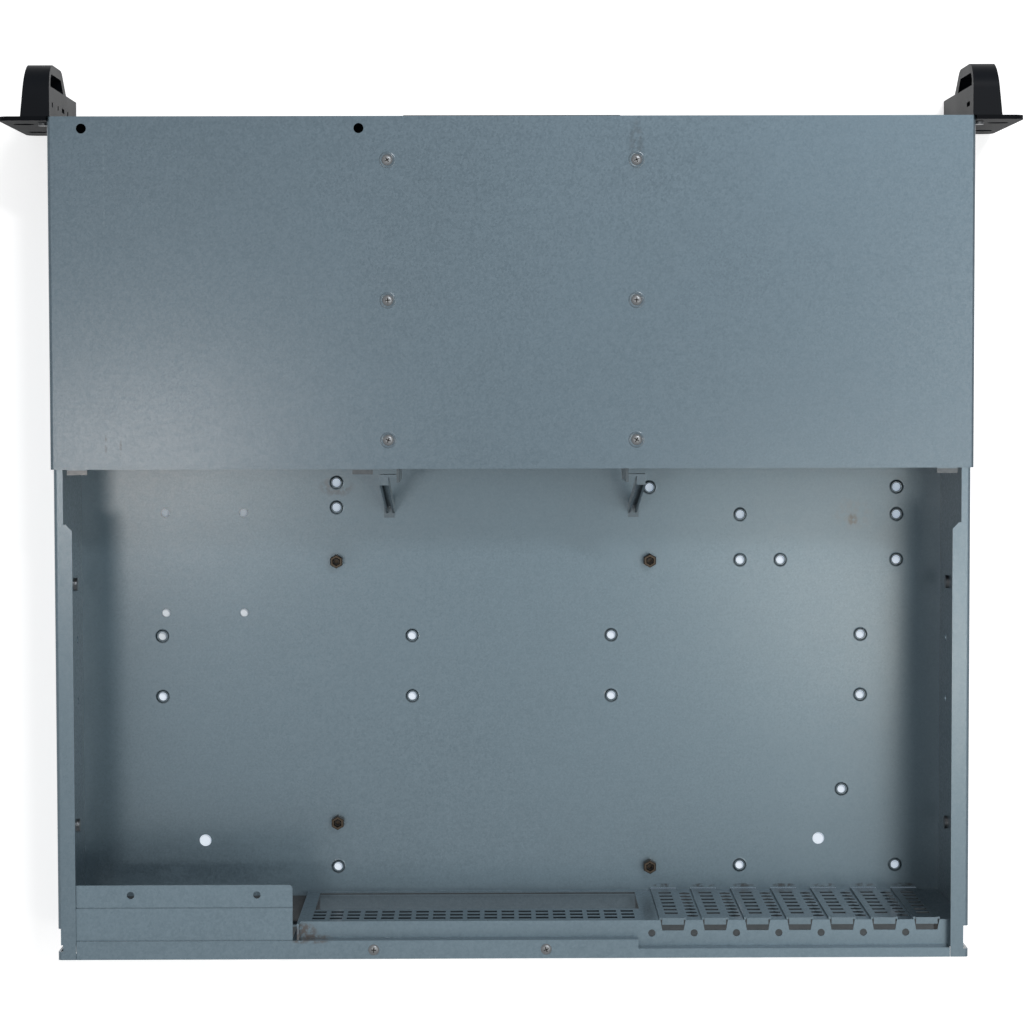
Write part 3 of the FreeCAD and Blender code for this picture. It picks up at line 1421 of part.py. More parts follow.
def check():
    """Stop if any object failed or any node's shape isn't sound."""
    for item in doc.Objects:
        bad = [state for state in item.State if state in ("Invalid", "Error")]
        if bad:
            raise RuntimeError(f"{item.Name} ({item.Label}) is {bad}: {item.getStatusString()}")
    for node in NODES:
        if node.Shape.isNull() or not node.Shape.isValid():
            raise RuntimeError(f"{node.Label}: its shape is empty or invalid")


def export():
    """One STEP file for each node."""
    os.makedirs("parts", exist_ok=True)
    for node in NODES:
        node.Shape.exportStep(f"parts/{node.Label}.step")


build()
check()
export()
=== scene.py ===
"""Looks of an empty two-unit rackmount server case: finishes, pressed details, fasteners and stage."""
import json
import math

import bmesh
import bpy
from mathutils import Matrix, Vector


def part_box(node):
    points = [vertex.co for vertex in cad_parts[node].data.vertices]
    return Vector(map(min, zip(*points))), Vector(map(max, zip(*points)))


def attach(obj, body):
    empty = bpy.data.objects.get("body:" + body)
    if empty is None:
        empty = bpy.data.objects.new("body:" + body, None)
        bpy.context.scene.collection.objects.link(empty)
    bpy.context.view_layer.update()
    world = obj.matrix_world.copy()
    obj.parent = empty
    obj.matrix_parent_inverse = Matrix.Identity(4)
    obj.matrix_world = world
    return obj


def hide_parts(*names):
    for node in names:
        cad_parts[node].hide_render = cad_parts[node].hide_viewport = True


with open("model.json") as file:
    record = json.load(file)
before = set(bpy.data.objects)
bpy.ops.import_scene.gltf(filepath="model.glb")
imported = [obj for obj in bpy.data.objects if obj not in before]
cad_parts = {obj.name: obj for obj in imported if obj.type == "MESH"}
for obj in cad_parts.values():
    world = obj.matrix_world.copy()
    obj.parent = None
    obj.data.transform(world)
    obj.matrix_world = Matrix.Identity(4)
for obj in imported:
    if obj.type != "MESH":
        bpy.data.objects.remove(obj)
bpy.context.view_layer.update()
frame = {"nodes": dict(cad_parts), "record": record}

bl_info = {
    "name": "Rackmount Case Finishes",
    "version": (1, 0, 0),
    "blender": (4, 5, 0),
    "location": "View3D > Sidebar > Rack Case",
    "description": "Galvanised, painted and moulded finishes, pressed details and fasteners "
                   "for a rackmount case",
    "category": "Object",
}

BODY = "case"
MM = 0.001

SLOT_COVER_NODES = [f"slot_cover_{number}" for number in range(1, 8)]
PAINTED_NODES = ["ear_left", "ear_right", "front_panel"]
MOULDED_NODES = ["handle_left", "handle_right", "bay_blank_lower", "bay_blank_upper",
                 "control_housing", "power_button", "reset_button"]
PLATED_NODES = ["handle_screws", "ear_rivets", "slide_studs"]

# sheets and fasteners, in metres
SHEET = 0.001
COVER_REAR = 0.1642
BLADE_FRONT = 0.3802
BLADE_VENT_TOP = 0.0700
WALL_FRONT = 0.3812
WALL_BACK = 0.3822
WALL_VENT_TOP = 0.0730
BOARD_OPENING = (-0.0623, 0.0975)
SLOT_FIRST = -0.0765
SLOT_PITCH = 0.02032
SLOT_FOOT = 0.3786
SCREW_RADIUS = 0.0026
SHANK_RADIUS = 0.00145
SHANK_LONG = 0.003
STANDOFF_HIGH = 0.00635
STANDOFF_HALF_FLATS = 0.003
SMOOTH_ANGLE = math.radians(35.0)

# where the painted shade behind the rear wall begins and is full, on the floor and on the table
FLOOR_DARK = (0.3900, 0.3930)
TABLE_DARK = (0.392, 0.395)

# colours of marks on the zinc coat, the dark one both for dirt and for painted shade; the colour of
# rust is a setting
STAINS = {
    "dirt": (0.026, 0.029, 0.032),
    "scratch": (0.2, 0.25, 0.28),
    "brown": (0.052, 0.040, 0.028),
    "smear": (0.104, 0.100, 0.092),
}
RECESS_SHADE = (0.018, 0.020, 0.022, 1.0)
PLATED_COLOUR = (0.19, 0.20, 0.21)

# marks on the zinc coat: x, y, half width, half depth, stain, amount
COVER_MARKS = (
    (-0.0585, 0.0120, 0.004, 0.014, "dirt", 0.35),
    (0.192, 0.030, 0.0005, 0.030, "scratch", 0.12),
    (0.192, 0.152, 0.0008, 0.006, "dirt", 0.5),
    (0.185, 0.154, 0.0008, 0.005, "dirt", 0.5),
)
FLOOR_MARKS = (
    (-0.172, 0.193, 0.003, 0.004, "brown", 0.7),
    (-0.172, 0.190, 0.012, 0.010, "smear", 0.25),
    (0.088, 0.176, 0.010, 0.006, "rust", 0.35),
)
# painted shade: a dark band over the slit before each slot cover's foot
FOOT_MARKS = tuple(
    (SLOT_FIRST - SLOT_PITCH * slot, SLOT_FOOT, 0.0068, 0.0012, "dirt", 0.9) for slot in range(7))
# darker rings round the tie holes of the floor
TIE_HOLE_MARKS = tuple(
    (x, y, 0.0029, 0.0029, "dirt", 0.6) for x in (0.13475, 0.17405) for y in (0.189, 0.2393))
WALL_MARKS = (
    (0.101, 0.386, 0.008, 0.005, "rust", 0.75),
    (0.097, 0.389, 0.012, 0.002, "rust", 0.6),
)

# the stage: lamps by name, place, size and colour, with their powers in the settings
LAMPS = (
    ("key", (-0.60, -0.85, 2.2), (0.5, 0.07), (1.0, 1.0, 1.0)),
    ("side", (-1.10, 0.15, 2.2), (0.5, 1.2), (1.0, 1.0, 0.98)),
    ("patch", (0.50, 0.25, 2.5), (0.12, 0.34), (1.0, 0.94, 0.89)),
    ("edge", (-0.64, 0.52, 2.5), (0.10, 0.7), (1.0, 0.98, 0.90)),
)
LAMP_AIM = (0.0, 0.2, 0.0)
SURROUNDINGS = (0.86, 0.93, 1.0, 1.0)
SURROUNDINGS_STRENGTH = 0.17
TABLE_HALF = 4.0
TABLE_DROP = 0.0004
TABLE_GLOW = 0.72

# places of the table that show through the case and get its painted shade, by middle and half size,
# and their soft edge
CASE_FOOTPRINT = ((0.0, 0.2025), (0.226, 0.207))
TIE_HOLES = ((0.154, 0.214), (0.045, 0.045))
FOOTPRINT_EDGE = (1.2, 0.8)


# ---------------------------------------------------------------- shader tools

class Wire:
    """One socket of a node tree; arithmetic on it adds Math nodes."""

    def __init__(self, graph, socket):
        self.graph = graph
        self.socket = socket

    def math(self, operation, *others):
        values = dict(enumerate((self, *others)))
        return self.graph.node("ShaderNodeMath", {"operation": operation}, values)

    def reflected(self, operation, other):
        return self.graph.node("ShaderNodeMath", {"operation": operation}, {0: other, 1: self})

    def __add__(self, other):
        return self.math("ADD", other)

    def __radd__(self, other):
        return self.reflected("ADD", other)

    def __sub__(self, other):
        return self.math("SUBTRACT", other)

    def __rsub__(self, other):
        return self.reflected("SUBTRACT", other)

    def __mul__(self, other):
        return self.math("MULTIPLY", other)

    def __rmul__(self, other):
        return self.reflected("MULTIPLY", other)

    def __truediv__(self, other):
        return self.math("DIVIDE", other)

    def __rtruediv__(self, other):
        return self.reflected("DIVIDE", other)

    def power(self, other):
        return self.math("POWER", other)

    def most(self, other):
        return self.math("MAXIMUM", other)

    def step(self, low, high):
        """Smooth change from nought at the first limit to one at the second."""
        return self.graph.node("ShaderNodeMapRange", {"interpolation_type": "SMOOTHSTEP"}, {
            "Value": self, "From Min": low, "From Max": high})

    def within(self, low, high, soft):
        """One between two limits and nought outside, softened about each."""
        return self.step(low - soft, low + soft) * self.step(high + soft, high - soft)


class Graph:
    """The nodes of a material or of the world, under construction."""

    def __init__(self, block, output):
        self.block = block
        self.block.use_nodes = True
        self.tree = self.block.node_tree
        self.tree.nodes.clear()
        self.output = self.tree.nodes.new(output)

    def node(self, kind, settings=None, values=None, result=0):
        """Add a node: its settings first, then the values or links of its sockets."""
        made = self.tree.nodes.new(kind)
        for name, value in (settings or {}).items():
            setattr(made, name, value)
        for name, value in (values or {}).items():
            if isinstance(value, Wire):
                self.tree.links.new(value.socket, made.inputs[name])
            else:
                made.inputs[name].default_value = value
        return Wire(self, made.outputs[result])

    def others(self, wire, *results):
        """Further results of the node that a wire comes from."""
        return [Wire(self, wire.socket.node.outputs[result]) for result in results]

    def place(self, scale=(1.0, 1.0, 1.0), shift=(0.0, 0.0, 0.0)):
        """The object's own coordinates, in metres, stretched and shifted."""
        coordinates = self.node("ShaderNodeTexCoord", result="Object")
        return self.node("ShaderNodeMapping", None, {
            "Vector": coordinates, "Location": shift, "Scale": scale})

    def parts(self):
        """The three coordinates of a point, in metres."""
        coordinates = self.node("ShaderNodeTexCoord", result="Object")
        split = self.node("ShaderNodeSeparateXYZ", None, {0: coordinates})
        return self.others(split, "X", "Y", "Z")

    def noise(self, scale, detail, stretch=(1.0, 1.0, 1.0), shift=(0.0, 0.0, 0.0), roughness=0.5):
        """Cloudy variation about one half."""
        return self.node("ShaderNodeTexNoise", None, {
            "Vector": self.place(stretch, shift),
            "Scale": scale, "Detail": detail, "Roughness": roughness})

    def mix(self, factor, low, high):
        """Blend two colours."""
        return self.node(
            "ShaderNodeMix", {"data_type": "RGBA"}, {0: factor, 6: low, 7: high}, result=2)

    def seen(self):
        """One for rays that look, mirror or pass through, and nought for rays that only light."""
        camera = self.node("ShaderNodeLightPath", result="Is Camera Ray")
        glossy, through = self.others(camera, "Is Glossy Ray", "Is Transmission Ray")
        return camera.most(glossy).most(through)

    def close(self, shader):
        """Link the finished shader to the output."""
        self.tree.links.new(shader.socket, self.output.inputs["Surface"])


class Finish(Graph):
    """A material under construction."""

    def __init__(self, name):
        super().__init__(bpy.data.materials.new(name), "ShaderNodeOutputMaterial")

    def bump(self, height, distance, strength):
        """Surface relief from a height in the range of about one."""
        return self.node("ShaderNodeBump", None, {
            "Strength": strength, "Distance": distance, "Height": height})

    def surface(self, **values):
        """Finish with one Principled shader."""
        names = {name.replace("_", " "): value for name, value in values.items()}
        self.close(self.node("ShaderNodeBsdfPrincipled", None, names))
        return self.block


def grey(value):
    """A neutral colour."""
    return (value, value, value, 1.0)


def lighter(colour, factor):
    """A colour made lighter or, below one, darker."""
    return [min(1.0, channel * factor) for channel in colour]


def patch(finish, middle, half, power, edge):
    """A soft mask about one place of the plan: round at a power of 2 and squarer above it."""
    across, along, _ = finish.parts()
    aside = ((across - middle[0]) / half[0]).power(power)
    ahead = ((along - middle[1]) / half[1]).power(power)
    return (aside + ahead).step(*edge)


# ---------------------------------------------------------------- finishes

def galvanised(name, colour, seed, roughness, marks=(), shade=None):
    """Zinc-coated sheet: fine spangle, handling marks, faint rolling lines, a few stains and, where
    given, painted shade.
    """
    finish = Finish(name)
    spangle = finish.node("ShaderNodeTexVoronoi", {"feature": "F1"}, {
        "Vector": finish.place(shift=(seed, seed, 0.0)), "Scale": 1100.0}, result="Color")
    flakes = finish.node("ShaderNodeRGBToBW", None, {0: spangle})
    grains = finish.noise(1500.0, 1.0, shift=(seed, 0.0, 0.0))
    clouds = finish.noise(14.0, 4.0, shift=(seed, 1.3, 0.0))
    rolling = finish.noise(60.0, 2.0, stretch=(1.0, 14.0, 1.0), shift=(0.0, seed, 0.0))
    patches = finish.noise(55.0, 3.0, shift=(2.0, seed, 0.0), roughness=0.6)
    tone = (flakes - 0.5) * 0.26 + (grains - 0.5) * 0.34 + (clouds - 0.5) * 0.26
    tone = tone + (rolling - 0.5) * 0.10 + (patches - 0.5) * 0.10
    base = finish.mix(tone + 0.5, (*lighter(colour, 0.72), 1.0), (*lighter(colour, 1.28), 1.0))
    stains = {**STAINS, "rust": tuple(bpy.context.scene.case_finish.rust_colour)}
    for x, y, half_wide, half_deep, stain, amount in marks:
        ragged = finish.noise(380.0, 3.0, shift=(x, y, 0.0)).step(0.35, 0.62)
        mask = patch(finish, (x, y), (half_wide, half_deep), power=2.0, edge=(1.0, 0.15)) * ragged
        base = finish.mix(mask * amount, base, (*stains[stain], 1.0))
    # painted shade: where the mask says, the coat is darkened towards the recess colour
    if shade:
        base = finish.mix(shade(finish), base, RECESS_SHADE)
    gloss = (flakes - 0.5) * 0.10 + (clouds - 0.5) * 0.14 + roughness
    relief = finish.bump(flakes * 0.5 + grains, 0.00001, 0.12)
    return finish.surface(
        Base_Color=base, Metallic=0.82, Roughness=gloss, Normal=relief,
        Coat_Weight=flakes * 0.5 + 0.40, Coat_Roughness=0.20)


def black_paint(name):
    """Fine-textured black enamel on steel, worn a little along its length."""
    finish = Finish(name)
    grain = finish.noise(2600.0, 2.0)
    wear = finish.noise(90.0, 4.0, roughness=0.65)
    base = finish.mix(
        wear.step(0.55, 0.8), (0.006, 0.007, 0.009, 1.0), (0.012, 0.014, 0.017, 1.0))
    relief = finish.bump(grain, 0.00005, 0.5)
    gloss = (grain - 0.5) * 0.15 + 0.52
    return finish.surface(Base_Color=base, Roughness=gloss, Specular_IOR_Level=0.03, Normal=relief)


def black_moulding(name):
    """Black moulded plastic with a satin spark-eroded grain."""
    finish = Finish(name)
    grain = finish.noise(3200.0, 2.0)
    clouds = finish.noise(40.0, 3.0)
    base = finish.mix(clouds, (0.005, 0.006, 0.008, 1.0), (0.010, 0.012, 0.016, 1.0))
    relief = finish.bump(grain, 0.00004, 0.4)
    gloss = (clouds - 0.5) * 0.12 + 0.42
    return finish.surface(Base_Color=base, Roughness=gloss, Specular_IOR_Level=0.06, Normal=relief)


def zinc_plate(name):
    """Plated screws and rivets, dulled by handling."""
    finish = Finish(name)
    clouds = finish.noise(700.0, 3.0)
    base = finish.mix(clouds, (*lighter(PLATED_COLOUR, 0.6), 1.0), (*PLATED_COLOUR, 1.0))
    return finish.surface(Base_Color=base, Metallic=0.85, Roughness=(clouds - 0.5) * 0.2 + 0.36)


def turned_brass(name):
    """Dark oxidised brass with fine turning marks."""
    finish = Finish(name)
    clouds = finish.noise(500.0, 3.0)
    rings = finish.noise(900.0, 1.0, stretch=(0.2, 0.2, 6.0))
    base = finish.mix(clouds, (0.030, 0.024, 0.019, 1.0), (0.068, 0.055, 0.042, 1.0))
    relief = finish.bump(rings, 0.00004, 0.5)
    return finish.surface(
        Base_Color=base, Metallic=0.9, Roughness=(clouds - 0.5) * 0.2 + 0.42, Normal=relief)


def circuit_green(name):
    """Solder-resist green with faint copper shapes below it."""
    finish = Finish(name)
    cells = finish.node("ShaderNodeTexVoronoi", {"feature": "F1", "distance": "MANHATTAN"}, {
        "Vector": finish.place(), "Scale": 420.0}, result="Distance")
    base = finish.mix(
        cells.step(0.3, 0.5), (0.012, 0.10, 0.045, 1.0), (0.02, 0.17, 0.07, 1.0))
    return finish.surface(Base_Color=base, Roughness=cells * 0.1 + 0.32)


def clear_lens(name):
    """Clear moulded light pipe."""
    finish = Finish(name)
    haze = finish.noise(800.0, 1.0)
    return finish.surface(
        Base_Color=(0.85, 0.87, 0.86, 1.0), Roughness=haze * 0.1 + 0.12,
        Transmission_Weight=0.7, IOR=1.49)


def dark_recess(name):
    """The unlit bottom of a small recess."""
    finish = Finish(name)
    dust = finish.noise(1200.0, 2.0)
    base = finish.mix(dust, (0.010, 0.011, 0.012, 1.0), (0.030, 0.030, 0.030, 1.0))
    return finish.surface(Base_Color=base, Roughness=dust * 0.2 + 0.6)


def painted_shade_behind_wall(finish):
    """Painted shade on the floor's strip behind the rear wall, all in the dark except behind the board
    opening.
    """
    across, along, upward = finish.parts()
    opening = across.within(*BOARD_OPENING, 0.0005)
    near = along.step(WALL_BACK + 0.0004, WALL_BACK + 0.0014) * (1.0 - opening * 0.75)
    far = along.step(*FLOOR_DARK)
    on_floor = upward.step(SHEET + 0.0006, SHEET + 0.0002)
    return near.most(far) * on_floor * 0.85


def painted_shade_cut_edges(finish, front, top):
    """Painted shade on the cut edges in the vents of a sheet, which lie in the dark."""
    _, along, upward = finish.parts()
    inside = along.within(front + 0.0001, front + SHEET - 0.0001, 0.00004)
    return inside * upward.step(top, top - 0.0005) * 0.9


def painted_shade_blade_edges(finish):
    """Painted shade on the cut edges of the slot covers' vents."""
    return painted_shade_cut_edges(finish, BLADE_FRONT, BLADE_VENT_TOP)


def painted_shade_wall_edges(finish):
    """Painted shade on the cut edges of the vents in the rear wall."""
    return painted_shade_cut_edges(finish, WALL_FRONT, WALL_VENT_TOP)


def painted_shade_past_edge(finish):
    """Painted shade on the tongues past the cover's rear edge."""
    _, along, _ = finish.parts()
    return along.step(COVER_REAR, COVER_REAR + 0.0004) * 0.8


# material, its nodes, the setting of its colour, how light it is, seed, marks and painted shade
SHEET_FINISHES = (
    ("zinc_cover", ["front_cover"], "cover_colour", 1.0, 0.0, COVER_MARKS, painted_shade_past_edge),
    ("zinc_tub", ["base_tub"], "tub_colour", 1.0, 0.7,
     FLOOR_MARKS + FOOT_MARKS + TIE_HOLE_MARKS, painted_shade_behind_wall),
    # the rear panel and supply plate are painted lighter for the light that falls on them
    ("zinc_rear", ["rear_panel"], "tub_colour", 1.12, 1.9, WALL_MARKS, painted_shade_wall_edges),
    ("zinc_plate", ["supply_plate"], "tub_colour", 1.15, 2.6, (), None),
    ("zinc_blades", SLOT_COVER_NODES, "tub_colour", 0.95, 3.4, (), painted_shade_blade_edges),
    # the rails and struts are painted darker for the shade they lie in
    ("zinc_rails", ["drive_rail_left", "drive_rail_right"], "tub_colour", 0.35, 6.1, (), None),
    ("zinc_struts", ["rail_strut_left", "rail_strut_right"], "tub_colour", 0.6, 6.8, (), None),
)


def assign(names, material):
    """Give CAD nodes one finish."""
    for name in names:
        for slot in frame["nodes"][name].material_slots:
            slot.material = material


# ---------------------------------------------------------------- mesh tools

def finished(name, bm, material):
    """Turn a bmesh into a piece that rides on the case."""
    bmesh.ops.remove_doubles(bm, verts=bm.verts, dist=1e-7)
    bmesh.ops.recalc_face_normals(bm, faces=bm.faces)
    mesh = bpy.data.meshes.new(name)
    bm.to_mesh(mesh)
    bm.free()
    mesh.materials.append(material)
    mesh.shade_smooth()
    mesh.set_sharp_from_angle(angle=SMOOTH_ANGLE)
    piece = bpy.data.objects.new(name, mesh)
    bpy.context.scene.collection.objects.link(piece)
    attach(piece, BODY)
    return piece


def lathe(bm, profile, centre, steps):
    """Spin an open profile of (radius, height) points about an upright axis."""
    middle = Vector(centre)
    points = [bm.verts.new(middle + Vector((radius, 0.0, height))) for radius, height in profile]
    edges = [bm.edges.new(pair) for pair in zip(points, points[1:])]
    bmesh.ops.spin(
        bm, geom=points + edges, cent=centre, axis=(0.0, 0.0, 1.0), angle=2.0 * math.pi,
        steps=steps, use_merge=True)


def slab(bm, low, high):
    """A block between two corners."""
    size = Vector(high) - Vector(low)
    middle = (Vector(high) + Vector(low)) / 2.0
    matrix = Matrix.Translation(middle) @ Matrix.Diagonal((*size, 1.0))
    return bmesh.ops.create_cube(bm, size=1.0, matrix=matrix)["verts"]


def mounts(*starts):
    """Mounts of the record whose names begin in one of these ways."""
    found = [mount for mount in frame["record"]["mounts"] if mount["name"].startswith(starts)]
    if not found:
        raise RuntimeError(f"the record has no mount named {' or '.join(starts)}")
    return found


def hole_places(mount):
    """The holes of a mount in the floor or on a top face, in metres."""
    x, y, z = mount["pos_m"]
    dims = mount["dims"]
    half_x = dims.get("spacing_x_mm", 0.0) * MM / 2.0
    half_y = dims.get("spacing_y_mm", 0.0) * MM / 2.0
    across = (-half_x, half_x) if half_x else (0.0,)
    along = (-half_y, half_y) if half_y else (0.0,)
    return [(x + dx, y + dy, z) for dx in across for dy in along]


def unique_places(places):
    """The same places without repeats."""
    kept = []
    for place in places:
        if all(math.dist(place[:2], other[:2]) > MM for other in kept):
            kept.append(place)
    return kept


def inner_floor():
    """Height of the floor's upper face."""
    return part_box("board_standoffs")[1][2] - STANDOFF_HIGH


# ---------------------------------------------------------------- settings

class CaseFinishSettings(bpy.types.PropertyGroup):
    """Colours of the sheet metal."""

    cover_colour: bpy.props.FloatVectorProperty(
        name="Cover", description="Colour of the cover's zinc coat", subtype="COLOR", size=3,
        min=0.0, max=1.0, default=(0.064, 0.096, 0.121))
    tub_colour: bpy.props.FloatVectorProperty(
        name="Tub", description="Colour of the tub's zinc coat", subtype="COLOR", size=3,
        min=0.0, max=1.0, default=(0.083, 0.122, 0.150))
    rust_colour: bpy.props.FloatVectorProperty(
        name="Rust", description="Colour of the rust stains", subtype="COLOR", size=3,
        min=0.0, max=1.0, default=(0.048, 0.028, 0.017))
    sheet_roughness: bpy.props.FloatProperty(
        name="Roughness", description="Roughness of the zinc coat", min=0.1, max=0.9, default=0.40)


class CaseDetailSettings(bpy.types.PropertyGroup):
    """Sizes of the pressed and turned details."""

    collar_wide: bpy.props.FloatProperty(
        name="Collar Width", description="Outside of the rim pressed up round a floor hole",
        unit="LENGTH", default=0.0066)
    collar_high: bpy.props.FloatProperty(
        name="Collar Height", description="Height of the rim pressed up round a floor hole",
        unit="LENGTH", default=0.0007)
    dimple_wide: bpy.props.FloatProperty(
        name="Dimple Width", description="Pressed ring round each cover screw",
        unit="LENGTH", default=0.0078)
    screw_head_high: bpy.props.FloatProperty(
        name="Screw Head Height", description="Height of a cover screw's dome",
        unit="LENGTH", default=0.0009)


class CaseStageSettings(bpy.types.PropertyGroup):
    """Camera and lamps."""

    lens: bpy.props.FloatProperty(
        name="Lens", description="Focal length on a 36 mm sensor, in millimetres", default=99.95)
    camera_place: bpy.props.FloatVectorProperty(
        name="Camera", description="Place of the camera", subtype="TRANSLATION", size=3,
        default=(0.01016, 0.11681, 1.43077))
    camera_turn: bpy.props.FloatVectorProperty(
        name="Camera Turn", description="Turn of the camera", subtype="EULER", size=3,
        default=(math.radians(-2.884), math.radians(-0.425), math.radians(179.865)))
    key_power: bpy.props.FloatProperty(
        name="Key", description="Power of the narrow lamp before the case",
        subtype="POWER", default=20.0)
    side_power: bpy.props.FloatProperty(
        name="Side", description="Power of the wide lamp beside the case",
        subtype="POWER", default=5.5)
    patch_power: bpy.props.FloatProperty(
        name="Patch", description="Power of the small warm lamp over the left of the floor",
        subtype="POWER", default=3.4)
    edge_power: bpy.props.FloatProperty(
        name="Edge", description="Power of the long lamp over the right rear",
        subtype="POWER", default=4.3)


# ---------------------------------------------------------------- operators

class CASE_OT_sheet_metal(bpy.types.Operator):
    """Zinc-coated finish of the tub, rear panel, cover, rails and slot covers"""

    bl_idname = "case.sheet_metal"
    bl_label = "Sheet Metal Finishes"

    def execute(self, context):
        settings = context.scene.case_finish
        for name, nodes, colour, light, seed, marks, shade in SHEET_FINISHES:
            coat = lighter(getattr(settings, colour), light)
            assign(nodes, galvanised(name, coat, seed, settings.sheet_roughness, marks, shade))
        return {"FINISHED"}


class CASE_OT_black_parts(bpy.types.Operator):
    """Painted ears and front panel, moulded handles, blanks and controls"""

    bl_idname = "case.black_parts"
    bl_label = "Black Parts"

    def execute(self, context):
        assign(PAINTED_NODES, black_paint("black_paint"))
        assign(MOULDED_NODES, black_moulding("black_moulding"))
        assign(["control_board"], circuit_green("circuit_green"))
        assign(["led_lenses"], clear_lens("clear_lens"))
        assign(PLATED_NODES, zinc_plate("zinc_plate_small"))
        return {"FINISHED"}


class CASE_OT_floor_collars(bpy.types.Operator):
    """Rims pressed up round the fixing holes of the floor"""

    bl_idname = "case.floor_collars"
    bl_label = "Floor Collars"

    def execute(self, context):
        settings = context.scene.case_detail
        outer = settings.collar_wide / 2.0
        high = settings.collar_high
        inner = mounts("board_holes_wide")[0]["dims"]["hole_r_mm"] * MM
        floor = inner_floor()
        places = []
        for mount in mounts("board_hole", "crossbar_holes"):
            places += hole_places(mount)
        bm = bmesh.new()
        for x, y, _ in unique_places(places):
            lathe(bm, (
                (inner, 0.0),
                (inner, high * 0.75),
                (inner + 0.0002, high),
                (inner + 0.0006, high),
                (outer - 0.0003, high * 0.6),
                (outer, high * 0.1),
                (outer + 0.0004, 0.00001),
            ), (x, y, floor), steps=28)
        coat = lighter(context.scene.case_finish.tub_colour, 0.75)
        rims = galvanised("zinc_collars", coat, seed=4.2, roughness=0.34)
        finished("floor_collars", bm, rims)
        return {"FINISHED"}


class CASE_OT_screws(bpy.types.Operator):
    """Domed screw heads with cross recesses, in the cover and the rear flange"""

    bl_idname = "case.screws"
    bl_label = "Screws"

    def execute(self, context):
        settings = context.scene.case_detail
        steel = zinc_plate("screw_zinc")
        recess = dark_recess("screw_recess")
        low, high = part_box("cover_screws")
        columns = (low[0] + SCREW_RADIUS, high[0] - SCREW_RADIUS)
        rows = (low[1] + SCREW_RADIUS, (low[1] + high[1]) / 2.0, high[1] - SCREW_RADIUS)
        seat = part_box("front_cover")[1][2]
        cover_places = [(x, y, seat) for x in columns for y in rows]
        low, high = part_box("rear_flange_screws")
        columns = (low[0] + SCREW_RADIUS, high[0] - SCREW_RADIUS)
        row = (low[1] + high[1]) / 2.0
        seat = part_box("rear_panel")[1][2]
        flange_places = [(x, row, seat) for x in columns]
        groups = (("cover_screws", cover_places), ("rear_flange_screws", flange_places))
        for name, places in groups:
            bm = bmesh.new()
            slots = bmesh.new()
            for number, place in enumerate(places):
                # each screw was left at an angle of its own
                turn = 0.4 + number * 1.1
                self.head(bm, place, settings.screw_head_high)
                self.cross(slots, place, settings.screw_head_high, turn)
            heads = finished(name + "_heads", bm, steel)
            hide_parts(name)
            finished(name + "_recesses", slots, recess)
        dimple = bmesh.new()
        outer = settings.dimple_wide / 2.0
        for place in cover_places:
            lathe(dimple, (
                (SCREW_RADIUS + 0.0001, 0.00001),
                (SCREW_RADIUS + 0.0005, 0.00006),
                (outer - 0.0004, 0.00012),
                (outer, 0.00001),
            ), place, steps=32)
        coat = lighter(context.scene.case_finish.cover_colour, 0.8)
        rings = galvanised("zinc_dimples", coat, seed=5.0, roughness=0.5)
        finished("screw_dimples", dimple, rings)
        return {"FINISHED"}

    def head(self, bm, place, high):
        """One pan head with its shank."""
        lathe(bm, (
            (0.0, high),
            (0.0009, high * 0.98),
            (SCREW_RADIUS * 0.62, high * 0.86),
            (SCREW_RADIUS * 0.88, high * 0.55),
            (SCREW_RADIUS, high * 0.15),
            (SCREW_RADIUS, 0.0),
            (SHANK_RADIUS, 0.0),
            (SHANK_RADIUS, -SHANK_LONG),
            (0.0, -SHANK_LONG),
        ), place, steps=28)

    def cross(self, bm, place, high, turn):
        """The cross recess of one head, with its top just over the head's."""
        half_long, half_wide = 0.00125, 0.00026
        for angle in (turn, turn + math.pi / 2.0):
            verts = slab(
                bm, (-half_long, -half_wide, high * 0.6), (half_long, half_wide, high + 0.00002))
            matrix = Matrix.Translation(place) @ Matrix.Rotation(angle, 4, "Z")
            bmesh.ops.transform(bm, matrix=matrix, verts=verts)


class CASE_OT_standoffs(bpy.types.Operator):
    """Chamfered hexagonal brass standoffs with threaded bores"""

    bl_idname = "case.standoffs"
    bl_label = "Standoffs"

    def execute(self, context):
        places = []
        for mount in mounts("board_standoffs"):
            places += hole_places(mount)
        floor = inner_floor()
        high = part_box("board_standoffs")[1][2] - floor
        bm = bmesh.new()
        bores = bmesh.new()
        for x, y, _ in unique_places(places):
            self.hexagon(bm, (x, y, floor), high)
            lathe(bores, (
                (0.0, 0.0016),
                (0.00140, 0.0016),
                (0.00143, high - 0.0007),
                (0.00120, high - 0.0007),
                (0.00118, 0.0018),
                (0.0, 0.0018),
            ), (x, y, floor), steps=20)
        piece = finished("standoffs", bm, turned_brass("turned_brass"))
        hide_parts("board_standoffs")
        finished("standoff_bores", bores, dark_recess("standoff_bore"))
        return {"FINISHED"}

    def hexagon(self, bm, foot, high):
        """One standoff: a hexagon with a chamfered top and a bore."""
        corner = STANDOFF_HALF_FLATS / math.cos(math.pi / 6.0)
        ring = bmesh.ops.create_circle(
            bm, cap_ends=True, radius=corner, segments=6, matrix=Matrix.Translation(foot))["verts"]
        raised = bmesh.ops.extrude_face_region(bm, geom=[ring[0].link_faces[0]])["geom"]
        tops = [item for item in raised if isinstance(item, bmesh.types.BMVert)]
        bmesh.ops.translate(bm, verts=tops, vec=(0.0, 0.0, high))
        lid = next(item for item in raised if isinstance(item, bmesh.types.BMFace))
        # chamfer, flat top, the bore's countersink and the bore
        rings = ((0.0004, 0.0003), (0.0009, 0.0), (0.0001, -0.0004), (0.00002, -0.0040))
        for thickness, depth in rings:
            bmesh.ops.inset_region(bm, faces=[lid], thickness=thickness, depth=depth)


